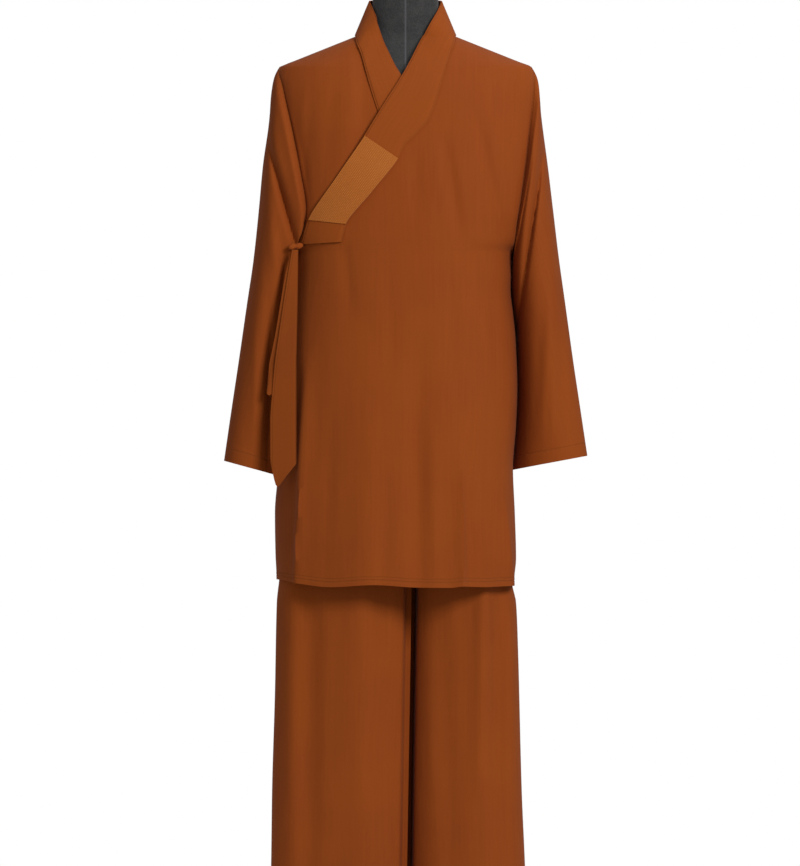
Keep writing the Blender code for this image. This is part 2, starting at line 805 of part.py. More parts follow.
cloth = material("brown_cloth", CLOTH, 0.85)
band_cloth = material("band_cloth", BAND_CLOTH, 0.85)
patch_cloth = material("patch_cloth", PATCH_CLOTH, 0.8)
form_cloth = material("form_cloth", FORM_CLOTH, 0.9)
metal = material("stand_metal", METAL, 0.4)

turned_part(
    "stand_base",
    [(0, 0), (196, 0), (200, 4), (200, 8), (196, 12), (0, 12)], 0, metal, 32,
)
turned_part(
    "stand_pole",
    [(0, 12.3), (30, 12.3), (30, 22), (16, 30), (16, 886), (34, 892), (34, 899.6), (0, 899.6)],
    POLE_X, metal, 20,
)
form()
front_panel()
under_panel()
back_panel()
sleeve("sleeve_left", 1, SLEEVE_LEFT, SLEEVE_FOLDS_LEFT)
sleeve("sleeve_right", -1, SLEEVE_RIGHT, SLEEVE_FOLDS_RIGHT)
band("collar_left", 1, BAND_ENDS, False)
band("collar_right", -1, UNDER_BAND_ENDS, True)
patch()
knot()
ribbon("tie_long", TIE_LONG, TIE_LONG_END)
ribbon("tie_short", TIE_SHORT, TIE_SHORT_END)
trouser("trouser_front_left", 1, -1)
trouser("trouser_front_right", -1, -1)
trouser("trouser_back_left", 1, 1)
trouser("trouser_back_right", -1, 1)
waistband()
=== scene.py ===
import math

import bmesh
import bpy
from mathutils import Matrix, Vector, noise


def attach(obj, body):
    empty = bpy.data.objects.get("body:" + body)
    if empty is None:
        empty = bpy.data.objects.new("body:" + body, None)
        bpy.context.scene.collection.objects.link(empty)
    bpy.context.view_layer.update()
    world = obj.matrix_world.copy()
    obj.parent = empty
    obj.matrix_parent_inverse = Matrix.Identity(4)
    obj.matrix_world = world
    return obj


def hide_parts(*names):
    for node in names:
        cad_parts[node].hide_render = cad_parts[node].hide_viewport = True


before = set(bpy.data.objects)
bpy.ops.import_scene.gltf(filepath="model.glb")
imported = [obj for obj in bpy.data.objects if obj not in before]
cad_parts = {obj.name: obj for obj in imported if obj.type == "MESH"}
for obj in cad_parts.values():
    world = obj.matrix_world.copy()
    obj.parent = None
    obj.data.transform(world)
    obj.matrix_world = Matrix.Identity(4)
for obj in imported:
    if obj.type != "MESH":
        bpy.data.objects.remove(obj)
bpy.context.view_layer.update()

mm = 0.001
seam = 0.3  # gap between two sewn edges
hemZ, underarmZ, shoulderZ, crotchZ, waistZ = 603.0, 1135.0, 1432.0, 750.0, 1040.0
roundness = 2.4  # power of the body's rounded cross-section
tubeRound = 0.85  # power of a leg's or sleeve's
necklineZ = 1479.6  # top of the body panels, under the neck bands
trouserHemZ, hipZ, trouserTopZ = 45, 870, 1039.6  # the legs have joined as hips at hipZ
unrolled = 1.45  # a panel's width over the cloth, for one half width of the body
edgeCalm = 13  # the folds fade out this near a panel's edge
sideJoin = (1112, 1130)  # heights over which the layers at the wearer's right side come together
armSeam = {
    "upturn": 1270,  # above this the seam turns up over the shoulder
    "turn": (1165, 1205),  # heights over which the cloth's thickness turns to the seam
    "rise": (1148, 1195),  # its pull grows
    "fall": (1398, 1428),  # and fades
    "frontDeep": 4.6,
    "backDeep": 1.8,
    "narrow": 3.4,  # half width of the trough at the seam
    "broad": 15,  # and of the soft one round it
}

# height, half width on the wearer's left and right, front depth, back depth
torsoTable = [
    (560, 173, 205, 136, 122), (603, 173, 206, 135, 121), (646, 177, 208, 134, 119),
    (717, 175, 209, 132, 117), (792, 172, 203, 130, 114), (860, 177, 199.7, 128, 112),
    (918, 179, 197.2, 126, 110), (1000, 176, 191, 124, 108), (1040, 172, 187, 123.5, 109),
    (1072, 168.6, 183, 123, 110), (1110, 170.4, 180, 122.5, 111), (1135, 171.8, 180, 122, 112),
    (1150, 181, 188, 122, 112.4), (1172, 190, 193, 121.6, 113), (1200, 201, 198, 121, 113.6),
    (1262, 211, 206, 118, 113.8), (1328, 215, 210, 110, 109), (1385, 214.5, 212, 97, 101),
    (1406, 212, 210.5, 89, 96), (1421, 207.5, 207, 81, 92), (1432, 201, 201, 75, 88),
    (1440, 181, 181, 69, 85), (1456, 141, 141, 58, 78), (1468, 111, 111, 50, 72),
    (1480, 81, 81, 40, 66),
]
# height, front edge on the wearer's left and right, back edge as a share of the half width
armholeTable = [
    (1135, 171.5, 180, 1.0), (1150, 174, 172, 0.944), (1172, 178, 163, 0.918),
    (1200, 183, 160, 0.900), (1262, 192, 169, 0.900), (1328, 200, 182, 0.922),
    (1385, 206, 195, 0.960), (1406, 207, 199, 0.976), (1421, 205.5, 202, 0.990),
    (1432, 201, 201, 1.0),
]


def readTable(table, at, column=1):
    # smooth value between the rows of a table, with no overshoot
    if at <= table[0][0]:
        return table[0][column]
    if at >= table[-1][0]:
        return table[-1][column]
    k = 0
    while table[k + 1][0] < at:
        k += 1

    def slope(i):
        return (table[i + 1][column] - table[i][column]) / (table[i + 1][0] - table[i][0])

    def lean(i):
        if i == 0 or i == len(table) - 1:
            return slope(min(i, len(table) - 2))
        before, after = slope(i - 1), slope(i)
        return 0.0 if before * after <= 0 else 2 * before * after / (before + after)

    width = table[k + 1][0] - table[k][0]
    t = (at - table[k][0]) / width
    hold = (1 + 2 * t) * (1 - t) ** 2 * table[k][column] + t * t * (3 - 2 * t) * table[k + 1][column]
    return hold + width * (t * (1 - t) ** 2 * lean(k) - t * t * (1 - t) * lean(k + 1))


def ramp(low, high, at):
    t = min(1.0, max(0.0, (at - low) / (high - low)))
    return t * t * (3 - 2 * t)


def spaced(low, high, step):
    count = max(1, round((high - low) / step))
    return [low + (high - low) * k / count for k in range(count + 1)]


def foldHeight(folds, x, z):
    # top x, top z, low x, low z, half width, height of each fold
    out = 0.0
    for topX, topZ, lowX, lowZ, half, high in folds:
        t = (topZ - z) / (topZ - lowZ)
        if 0 < t < 1:
            middle = topX + (lowX - topX) * t
            out += high * math.exp(-(((x - middle) / half) ** 2)) * math.sin(math.pi * t) ** 0.7
    return out


def drape(x, z, seed, deep=0.8):
    # soft unevenness of hanging cloth, mostly inward
    a = noise.noise(Vector((x / 34, z / 150, seed)))
    b = noise.noise(Vector((x / 13, z / 60, seed + 9)))
    return -deep * (0.5 + 0.42 * a + 0.2 * b)


def halfWidth(side, z):
    return readTable(torsoTable, z, 1 if side > 0 else 2)


def torsoDepth(face, z):
    return readTable(torsoTable, z, 3 if face < 0 else 4)


def torsoY(face, x, z):
    share = min(1.0, abs(x) / halfWidth(x, z))
    return face * torsoDepth(face, z) * (1 - share**roundness) ** (1 / roundness)


def torsoPoint(face, s, z, out=0.0):
    # s runs from -1 at the wearer's right side to 1 at the left side
    wide, deep = halfWidth(s, z), torsoDepth(face, z)
    x = wide * math.sin(math.pi / 2 * s)
    y = torsoY(face, x, z)
    across = (abs(x) / wide) ** (roundness - 1) / wide * (1 if x > 0 else -1)
    along = (abs(y) / deep) ** (roundness - 1) / deep * face
    size = math.hypot(across, along)
    return Vector((x + out * across / size, y + out * along / size, z))


def armholeTurn(side, face, z):
    if face < 0:
        share = readTable(armholeTable, z, 1 if side > 0 else 2) / halfWidth(side, z)
    else:
        share = readTable(armholeTable, z, 3)
    return side * 2 / math.pi * math.asin(min(1.0, share))


def acrossAt(x, z):
    return 2 / math.pi * math.asin(max(-1.0, min(1.0, x / halfWidth(x, z))))


def sideOut(side, z):
    lean = (halfWidth(side, z + 2) - halfWidth(side, z - 2)) / 4
    return Vector((side, 0, -lean)).normalized()


def armOut(side, face, z):
    w = ramp(armSeam["upturn"], shoulderZ, z)
    return Vector((side * (0.42 + 0.36 * w), face * (1 - w) * 0.9, 0.72 * w)).normalized()


def panelEnd(side, face, z):
    return armholeTurn(side, face, z) if underarmZ < z < shoulderZ else float(side)


def armLean(side, face, z):
    # direction of the cloth's thickness at the armhole, and how far it counts
    return armOut(side, face, z), ramp(*armSeam["turn"], z)


def panelLean(side, face, z):
    if z <= underarmZ or z >= shoulderZ:
        return sideOut(side, z), 1.0
    return armLean(side, face, z)


def armGroove(side, face, z, distance, wide=0.0):
    # the sewn armhole pulls the cloth in along its seam
    held = ramp(*armSeam["rise"], z) * (1 - ramp(*armSeam["fall"], z))
    deep = armSeam["frontDeep" if face < 0 else "backDeep"] - wide
    narrow = math.exp(-((distance / armSeam["narrow"]) ** 2))
    broad = math.exp(-((distance / armSeam["broad"]) ** 2))
    return armOut(side, face, z) * -held * (deep * narrow + wide * broad)


def chestPoint(x, z, out):
    step = 0.5
    leanX = (torsoY(-1, x + step, z) - torsoY(-1, x - step, z)) / (2 * step)
    leanZ = (torsoY(-1, x, z + step) - torsoY(-1, x, z - step)) / (2 * step)
    return Vector((x, torsoY(-1, x, z), z)) + Vector((leanX, -1, leanZ)).normalized() * out


def edgePoint(points, t):
    table = [(k, x, z) for k, (x, z) in enumerate(points)]
    at = t * (len(points) - 1)
    return readTable(table, at, 1), readTable(table, at, 2)


def measureCloth(spot, wide, high):
    # how far each point is along its row and up its column
    along, up = {}, {}
    for j in range(high + 1):
        total = 0.0
        for i in range(wide + 1):
            total += (spot[i, j] - spot[i - 1, j]).length if i else 0.0
            along[i, j] = total
    for i in range(wide + 1):
        total = 0.0
        for j in range(high + 1):
            total += (spot[i, j] - spot[i, j - 1]).length if j else 0.0
            up[i, j] = total
    return along, up


def plumbZero(spot, along, wide, j):
    # where the row crosses the middle of the body, so the grain hangs plumb
    for i in range(wide):
        a, b = spot[i, j].x, spot[i + 1, j].x
        if a * b <= 0 and a != b:
            return along[i, j] + a / (a - b) * (along[i + 1, j] - along[i, j])
    first, last = abs(spot[0, j].x), abs(spot[wide, j].x)
    return -first if first < last else along[wide, j] + last


def clothSheet(name, columns, rows, at, wall, lean=None, tube=False, plumb=False):
    # columns and rows list places on the cloth, and at gives the outer point there
    wide, high = len(columns) - 1, len(rows) - 1
    spot = {(i, j): at(c, r) for i, c in enumerate(columns) for j, r in enumerate(rows)}
    along, up = measureCloth(spot, wide, high)
    zero = [plumbZero(spot, along, wide, j) if plumb else along[wide, j] / 2 for j in range(high + 1)]
    bm = bmesh.new()
    bmesh.ops.create_grid(bm, x_segments=wide, y_segments=high, size=0.5)
    inward = bm.verts.layers.float_vector.new("inward")
    leaning = bm.verts.layers.float_vector.new("leaning")
    flat = bm.verts.layers.float_vector.new("flat")
    edges = bm.verts.layers.float_vector.new("edges")
    for vert in bm.verts:
        i, j = round((vert.co.x + 0.5) * wide), round((vert.co.y + 0.5) * high)
        vert.co = spot[i, j]
        length, height = along[wide, j], up[i, high]
        vert[flat] = Vector((along[i, j] - zero[j], up[i, j], length)) * mm
        side = min(along[i, j], length - along[i, j])
        vert[edges] = Vector((side, height - up[i, j], up[i, j])) * mm
        told = lean(columns[i], rows[j]) if lean else None
        if told:
            vert[leaning] = told[0] * told[1]
    if tube:
        bmesh.ops.remove_doubles(bm, verts=bm.verts[:], dist=1e-4)
    bm.normal_update()
    for vert in bm.verts:
        told = Vector(vert[leaning])
        vert[inward] = -wall * (told + vert.normal * (1 - min(1.0, told.length))).normalized()
    inner = bmesh.ops.extrude_face_region(bm, geom=bm.faces[:], use_keep_orig=True)
    for vert in inner["geom"]:
        if isinstance(vert, bmesh.types.BMVert):
            vert.co += Vector(vert[inward])
    bmesh.ops.recalc_face_normals(bm, faces=bm.faces[:])
    uv = bm.loops.layers.uv.new("clothUv")
    for face in bm.faces:
        places = [Vector(loop.vert[flat]) for loop in face.loops]
        far = max(p.x for p in places)
        for loop, p in zip(face.loops, places):
            wrapped = tube and far - p.x > p.z / 2
            loop[uv].uv = (p.x + (p.z if wrapped else 0.0), p.y)
        face.smooth = True
    for edge in bm.edges:
        if len(edge.link_faces) == 2 and edge.calc_face_angle(0) > 0.9:
            edge.smooth = False
    bmesh.ops.scale(bm, vec=(mm, mm, mm), verts=bm.verts[:])
    rowLong = max(along[wide, j] for j in range(high + 1))
    columnLong = max(up[i, high] for i in range(wide + 1))
    made = finishMesh(name, bm)
    area = sum(p.area for p in made.data.polygons) / 2
    print(f"{name}: {rowLong:.0f} x {columnLong:.0f} mm, {area:.4f} m2, {len(made.data.polygons)} faces")
    return made


def finishMesh(name, bm):
    mesh = bpy.data.meshes.new(name)
    bm.to_mesh(mesh)
    bm.free()
    made = bpy.data.objects.new(name, mesh)
    bpy.context.scene.collection.objects.link(made)
    return made


def dress(piece, node, look):
    piece.data.materials.append(look)
    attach(piece, "root")
    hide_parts(node)


def newGroup(name, inputs, outputs):
    tree = bpy.data.node_groups.new(name, "ShaderNodeTree")
    for label, kind, value in inputs:
        socket = tree.interface.new_socket(name=label, in_out="INPUT", socket_type=kind)
        if value is not None:
            socket.default_value = value
    for label, kind in outputs:
        tree.interface.new_socket(name=label, in_out="OUTPUT", socket_type=kind)
    return tree, tree.nodes.new("NodeGroupInput"), tree.nodes.new("NodeGroupOutput")


def feed(tree, socket, value):
    if isinstance(value, bpy.types.NodeSocket):
        tree.links.new(value, socket)
    else:
        socket.default_value = value


def calc(tree, operation, *values):
    node = tree.nodes.new("ShaderNodeMath")
    node.operation = operation
    for socket, value in zip(node.inputs, values):
        feed(tree, socket, value)
    return node.outputs[0]


def times(tree, first, second):
    return calc(tree, "MULTIPLY", first, second)


def raised(tree, height, share, amount):
    return calc(tree, "MULTIPLY_ADD", share, amount, height)


def between(tree, value, low, high, start=0.0, end=1.0):
    node = tree.nodes.new("ShaderNodeMapRange")
    node.interpolation_type = "SMOOTHSTEP"
    for label, given in (
        ("Value", value), ("From Min", low), ("From Max", high), ("To Min", start), ("To Max", end),
    ):
        feed(tree, node.inputs[label], given)
    return node.outputs["Result"]


def split(tree, vector):
    node = tree.nodes.new("ShaderNodeSeparateXYZ")
    tree.links.new(vector, node.inputs[0])
    return node.outputs


def join(tree, x, y, z=0.0):
    node = tree.nodes.new("ShaderNodeCombineXYZ")
    for socket, value in zip(node.inputs, (x, y, z)):
        feed(tree, socket, value)
    return node.outputs[0]


def grain(tree, vector, scale, detail=2.0, roughness=0.5):
    node = tree.nodes.new("ShaderNodeTexNoise")
    tree.links.new(vector, node.inputs["Vector"])
    node.inputs["Scale"].default_value = scale
    node.inputs["Detail"].default_value = detail
    node.inputs["Roughness"].default_value = roughness
    return node.outputs["Fac"]


def blendColour(tree, share, first, second):
    node = tree.nodes.new("ShaderNodeMix")
    node.data_type = "RGBA"
    feed(tree, node.inputs[0], share)
    feed(tree, node.inputs[6], first)
    feed(tree, node.inputs[7], second)
    return node.outputs[2]


def makeWeaveGroup():
    # plain weave on the cloth's own flat measure, each yarn a little different
    tree, source, result = newGroup(
        "plainWeave",
        [("Vector", "NodeSocketVector", None), ("Pitch", "NodeSocketFloat", 0.0008)],
        [("Height", "NodeSocketFloat"), ("Yarn", "NodeSocketFloat")],
    )
    place = split(tree, source.outputs["Vector"])
    x = calc(tree, "DIVIDE", place[0], source.outputs["Pitch"])
    y = calc(tree, "DIVIDE", place[1], source.outputs["Pitch"])
    sineX = calc(tree, "SINE", times(tree, x, math.pi))
    sineY = calc(tree, "SINE", times(tree, y, math.pi))
    height = calc(tree, "MULTIPLY_ADD", times(tree, sineX, sineY), 0.5, 0.5)
    tones = []
    for value in (x, y):
        hashed = tree.nodes.new("ShaderNodeTexWhiteNoise")
        hashed.noise_dimensions = "1D"
        tree.links.new(calc(tree, "FLOOR", value), hashed.inputs["W"])
        tones.append(hashed.outputs["Value"])
    yarn = times(tree, calc(tree, "ADD", tones[0], tones[1]), 0.5)
    tree.links.new(height, result.inputs["Height"])
    tree.links.new(yarn, result.inputs["Yarn"])
    return tree


def makeDyeGroup():
    # long faint streaks along the warp, and broad soft patches where the dye took more or less
    tree, source, result = newGroup(
        "dyeTone",
        [("Vector", "NodeSocketVector", None), ("Object", "NodeSocketVector", None)],
        [("Streak", "NodeSocketFloat"), ("Patch", "NodeSocketFloat")],
    )
    place = split(tree, source.outputs["Vector"])
    streakAt = join(tree, times(tree, place[0], 260), times(tree, place[1], 9))
    streak = between(tree, grain(tree, streakAt, 1.0, 3.0), 0.3, 0.7)
    broad = between(tree, grain(tree, source.outputs["Object"], 7.0, 3.0), 0.35, 0.65)
    tree.links.new(streak, result.inputs["Streak"])
    tree.links.new(broad, result.inputs["Patch"])
    return tree


def makeStitchGroup():
    # one row of stitches at a set distance from an edge
    tree, source, result = newGroup(
        "stitchRow",
        [
            ("Across", "NodeSocketFloat", 0.0), ("Along", "NodeSocketFloat", 0.0),
            ("Row", "NodeSocketFloat", 0.01), ("Pitch", "NodeSocketFloat", 0.0026),
            ("Width", "NodeSocketFloat", 0.0005),
        ],
        [("Thread", "NodeSocketFloat"), ("Dent", "NodeSocketFloat")],
    )
    away = calc(
        tree, "ABSOLUTE", calc(tree, "SUBTRACT", source.outputs["Across"], source.outputs["Row"]),
    )
    width = source.outputs["Width"]
    line = between(tree, away, times(tree, width, 0.5), width, 1.0, 0.0)
    turn = calc(tree, "FRACT", calc(tree, "DIVIDE", source.outputs["Along"], source.outputs["Pitch"]))
    dash = calc(
        tree, "MULTIPLY", between(tree, turn, 0.0, 0.12), between(tree, turn, 0.68, 0.8, 1.0, 0.0),
    )
    # the dent: the sunken band round the row, used as a bump and as the mask for painted shade in the
    # groove
    dent = between(tree, away, 0.0, times(tree, width, 4.0), 1.0, 0.0)
    tree.links.new(times(tree, line, dash), result.inputs["Thread"])
    tree.links.new(dent, result.inputs["Dent"])
    return tree


def makeCrumpleGroup():
    # small soft creases that pressing leaves
    tree, source, result = newGroup(
        "softCrumple",
        [("Object", "NodeSocketVector", None)],
        [("Height", "NodeSocketFloat")],
    )
    place = split(tree, source.outputs["Object"])
    stretched = join(
        tree, times(tree, place[0], 30), times(tree, place[1], 30),
        times(tree, place[2], 8),
    )
    tree.links.new(grain(tree, stretched, 1.0, 3.0, 0.45), result.inputs["Height"])
    return tree


weaveGroup = makeWeaveGroup()
dyeGroup = makeDyeGroup()
stitchGroup = makeStitchGroup()
crumpleGroup = makeCrumpleGroup()


def useGroup(tree, group, **values):
    node = tree.nodes.new("ShaderNodeGroup")
    node.node_tree = group
    for label, value in values.items():
        feed(tree, node.inputs[label], value)
    return node.outputs


def newLook(name, roughness, sheen=0.0, specular=0.12):
    look = bpy.data.materials.new(name)
    look.use_nodes = True
    shader = look.node_tree.nodes["Principled BSDF"]
    shader.inputs["Roughness"].default_value = roughness
    shader.inputs["Sheen Weight"].default_value = sheen
    shader.inputs["Sheen Roughness"].default_value = 0.45
    shader.inputs["Specular IOR Level"].default_value = specular
    return look, look.node_tree, shader


def bodyPlace(tree):
    return tree.nodes.new("ShaderNodeTexCoord").outputs["Object"]


def flatPlace(tree):
    node = tree.nodes.new("ShaderNodeUVMap")
    node.uv_map = "clothUv"
    return node.outputs["UV"]


def tint(tree, colour, share, amount, toward):
    # turns a colour part of the way to another
    return blendColour(tree, times(tree, share, amount), colour, (*toward, 1))


def finishLook(tree, shader, colour, rough, height):
    bump = tree.nodes.new("ShaderNodeBump")
    bump.inputs["Strength"].default_value = 1.0
    bump.inputs["Distance"].default_value = 1.0
    feed(tree, bump.inputs["Height"], height)
    feed(tree, shader.inputs["Base Color"], colour)
    feed(tree, shader.inputs["Roughness"], rough)
    feed(tree, shader.inputs["Normal"], bump.outputs["Normal"])


# dark is the cloth's darker yarn and streak tone, and also the painted shade in the dents of its stitch
# rows
brownCloth = {
    "colour": (0.258, 0.052, 0.0062), "dark": (0.195, 0.038, 0.0035), "light": (0.300, 0.068, 0.0085),
    "thread": (0.330, 0.085, 0.014), "roughness": 0.84, "sheen": 0.02, "pitch": 0.0008,
    "weaveDepth": 0.00006, "crumple": 0.0016, "streak": 0.22, "patch": 0.30, "yarn": 0.10,
    "stitchDent": 0.0005, "threadProud": 0.0003, "stitches": [],
}


def clothLook(name, **changes):
    # stitches lists edge, distance from it, stitch length: edge 0 is a side, 1 the top, 2 the hem
    cloth = {**brownCloth, **changes}
    look, tree, shader = newLook(name, cloth["roughness"], cloth["sheen"])
    place, body = flatPlace(tree), bodyPlace(tree)
    away = tree.nodes.new("ShaderNodeAttribute")
    away.attribute_name = "edges"
    edges, flat = split(tree, away.outputs["Vector"]), split(tree, place)
    weave = useGroup(tree, weaveGroup, Vector=place, Pitch=cloth["pitch"])
    dye = useGroup(tree, dyeGroup, Vector=place, Object=body)
    crumple = useGroup(tree, crumpleGroup, Object=body)
    colour = tint(tree, (*cloth["colour"], 1), dye["Streak"], cloth["streak"], cloth["dark"])
    colour = tint(tree, colour, dye["Patch"], cloth["patch"], cloth["light"])
    colour = tint(tree, colour, weave["Yarn"], cloth["yarn"], cloth["dark"])
    height = times(tree, weave["Height"], cloth["weaveDepth"])
    height = raised(tree, height, crumple["Height"], cloth["crumple"])
    for edge, distance, pitch in cloth["stitches"]:
        along = flat[1 if edge == 0 else 0]
        row = useGroup(tree, stitchGroup, Across=edges[edge], Along=along, Row=distance, Pitch=pitch)
        # painted shade: the colour darkens along each stitch row's dent, where shade falls in the groove
        colour = tint(tree, colour, row["Dent"], 0.35, cloth["dark"])
        colour = tint(tree, colour, row["Thread"], 0.7, cloth["thread"])
        height = raised(tree, height, row["Dent"], -cloth["stitchDent"])
        height = raised(tree, height, row["Thread"], cloth["threadProud"])
    rough = calc(tree, "MULTIPLY_ADD", dye["Patch"], 0.08, cloth["roughness"] - 0.04)
    finishLook(tree, shader, colour, rough, height)
    return look


panelStitches = [(2, 0.0080, 0.0026), (2, 0.0128, 0.0026), (0, 0.0015, 0.003)]
jacketLook = clothLook("jacketCloth", stitches=panelStitches)
underLook = clothLook("underFrontCloth", stitches=panelStitches)
sleeveLook = clothLook("sleeveCloth", stitches=[(2, 0.0205, 0.0028), (1, 0.0016, 0.003)])
bandLook = clothLook(
    "bandCloth", colour=(0.272, 0.057, 0.0065), stitches=[(0, 0.0022, 0.0024)], crumple=0.0007,
)
# painted shade: the ties are the jacket's cloth, coloured darker to stand for the shade they hang in at
# the body's side under the sleeve
shadedTieLook = clothLook(
    "tieClothShaded", colour=(0.218, 0.045, 0.0047), stitches=[(0, 0.0018, 0.0024)], crumple=0.0007,
)
knotLook = clothLook("knotCloth", crumple=0.0006)
trouserLook = clothLook("trouserCloth", stitches=[(2, 0.0200, 0.0028), (2, 0.0240, 0.0028)])
waistLook = clothLook("waistbandCloth", stitches=[(2, 0.0030, 0.0028), (1, 0.0030, 0.0028)])
print("cloth finishes made")


# folds and creases: top x, top z, low x, low z, half width, height out of the cloth
frontPanel = {
    "wall": 1.6,
    "step": 6.5,
    "columns": 72,
    # height, share of the half width at which the free edge hangs down the side
    "sideEdge": [(603, -1.0), (1050, -1.0), (1075, -0.97), (1100, -0.92), (1118, -0.88)],
    "grooveWide": 1.6,  # the broad part of the armhole's pull
    "calm": (1080, 1180),  # heights over which the cloth's unevenness grows less
    "hangsTo": 1060,  # up to here its free edge is at the side seam
    "hemReach": 90,  # height over which the hem's curve fades out
    "folds": [
        (-154, 980, -176, 480, 13, 7.0), (-190, 900, -198, 480, 14, -3.0),
        (88, 830, 90, 470, 12, 7.0), (156, 740, 171, 480, 8, 6.0), (20, 1010, 24, 500, 18, -7.5),
        (-60, 900, -70, 480, 24, 5.0), (110, 1370, 172, 1100, 9, -5.0), (15, 1310, 18, 1180, 12, -2.5),
        (60, 1330, 92, 1140, 9, -4.2), (-99, 1160, -86, 1020, 10, -2.4),
    ],
    "creases": [
        (-156, 960, -175, 540, 3.6, 4.2), (-170, 950, -186, 540, 7, -3.0), (87, 850, 91, 540, 4.5, 3.4),
        (99, 830, 104, 540, 7, -3.4), (158, 750, 169, 520, 4.5, 3.0), (-70, 822, -69, 752, 4, -1.3),
        (-98, 1150, -87, 1035, 5, -0.8), (12, 900, 16, 560, 9, -2.2), (40, 860, 46, 560, 10, 2.2),
        (-30, 780, -34, 560, 8, -1.8), (128, 900, 136, 600, 10, -2.4), (-118, 900, -130, 560, 9, -2.0),
        (70, 1130, 84, 900, 9, -1.6), (-20, 1120, -26, 930, 10, -1.4), (140, 1100, 150, 900, 8, -1.8),
    ],
    # free edge from the side up under the band
    "edge": [
        (-176, 1132), (-168, 1142), (-150, 1150), (-128, 1158), (-114, 1181), (-72, 1238),
        (-30, 1295), (2, 1335), (25, 1359), (42, 1394), (55, 1425), (61, 1440), (64.3, 1447),
        (67, 1454), (70, 1460), (72.6, 1466), (75.6, 1472), (79.4, 1479.6),
    ],
    # x, height of the hem
    "hem": [
        (-206, 612), (-175, 607), (-121, 600.5), (-50, 604), (18, 600), (73, 599.5), (88, 601.5),
        (127, 600.5), (174, 602.5),
    ],
}
hemRows = [0, 1.4, 3, 5, 6.8, 8, 9.2, 11, 12.8, 14.4, 17, 21]
# how far the doubled hem swells and where that fades, its stitch rows, their half width and depth
jacketHem = {"swell": 0.45, "fade": (12.6, 15.5), "rows": (8.0, 12.8), "half": 1.1, "dip": 0.35}
cuffHem = {"swell": 0.4, "fade": (20, 24), "rows": (20.5,), "half": 1.3, "dip": 0.4}


def hemShape(hem, up):
    # a doubled hem stands a little proud and dips at its stitch rows
    dips = sum(math.exp(-(((up - row) / hem["half"]) ** 2)) for row in hem["rows"])
    return hem["swell"] * (1 - ramp(*hem["fade"], up)) - hem["dip"] * dips


# close rows where the armhole turns, at the underarm and at the shoulder point
turnSteps = (0, 0.5, 1.5, 3, 5, 8, 11.5)
armRows = [underarmZ + k for k in turnSteps] + [shoulderZ - k for k in turnSteps]


def panelRows(low, step):
    rows = [z for z in spaced(low + 27, necklineZ, step) if min(abs(z - k) for k in armRows) > 2]
    return [low + k for k in hemRows] + sorted(rows + armRows)


def panelColumns(count):
    return [0, 0.006, 0.012] + spaced(0.025, 0.975, 0.95 / count) + [0.988, 0.994, 1]


def alongPanel(s, end, z):
    # distance over the cloth from a place on a panel to its end
    return abs(s - end) * halfWidth(s, z) * unrolled


def edgeWindow(s, low, high, z):
    return ramp(0, edgeCalm, alongPanel(s, low, z)) * ramp(0, edgeCalm, alongPanel(s, high, z))


def atSideSeam(s):
    return abs(s) > 0.9999


def makeOuterFront():
    edge = frontPanel["sideEdge"] + [(z, acrossAt(x, z)) for x, z in frontPanel["edge"]]

    def at(c, z):
        low, high = readTable(edge, z), panelEnd(1, -1, z)
        s = low + (high - low) * c
        x = torsoPoint(-1, s, z).x
        out = foldHeight(frontPanel["folds"], x, z) + foldHeight(frontPanel["creases"], x, z)
        out += drape(x, z, 1.0) * (1 - 0.7 * ramp(*frontPanel["calm"], z))
        out = out * edgeWindow(s, low, high, z) + hemShape(jacketHem, z - hemZ)
        point = torsoPoint(-1, s, z, out)
        bend = 1 - ramp(hemZ, hemZ + frontPanel["hemReach"], z)
        point.z += (readTable(frontPanel["hem"], x) - hemZ) * bend
        point += armGroove(1, -1, z, alongPanel(s, high, z), frontPanel["grooveWide"])
        if atSideSeam(s):
            point.y -= seam / 2
        return point

    def lean(c, z):
        if c == 1:
            return panelLean(1, -1, z)
        return (sideOut(-1, z), 1.0) if c == 0 and z < frontPanel["hangsTo"] else None

    columns, rows = panelColumns(frontPanel["columns"]), panelRows(hemZ, frontPanel["step"])
    return clothSheet("front_left_cloth", columns, rows, at, frontPanel["wall"], lean, plumb=True)


underFront = {
    "wall": 1.6,
    "step": 8.0,
    "columns": 44,
    "hemUp": 9,  # its hem is this much above the outer front's
    "grooveWide": 1.6,
    "sinkOver": (28, 2),  # it sinks under the outer front between these distances from the table's x
    "creased": (1150, 1200),  # heights over which its creases start to show
    # free edge from the hem up
    "edge": [
        (95, 612), (95, 760), (95, 920), (95, 1060), (93, 1150), (86, 1210), (62, 1260), (30, 1300),
        (-2, 1335), (-25, 1359), (-42, 1394), (-55, 1425), (-67, 1454), (-79.4, 1479.6),
    ],
    # height, x past which it lies below the outer front, depth there
    "sink": [
        (603, -214, 5.4), (1110, -214, 5.4), (1122, -200, 6.2), (1130, -184, 6.4), (1141, -172, 6.0),
        (1150, -162, 5.2), (1181, -148, 4.6), (1238, -98, 4.6), (1295, -70, 6.0), (1335, -62, 6.4),
        (1430, -62, 6.4), (1449, -66, 3.4), (1466, -72, 0.0),
    ],
    "creases": [
        (-150, 1400, -166, 1200, 9, -1.6), (-112, 1420, -128, 1240, 12, -1.2),
        (-176, 1370, -158, 1190, 7, -1.4),
    ],
}


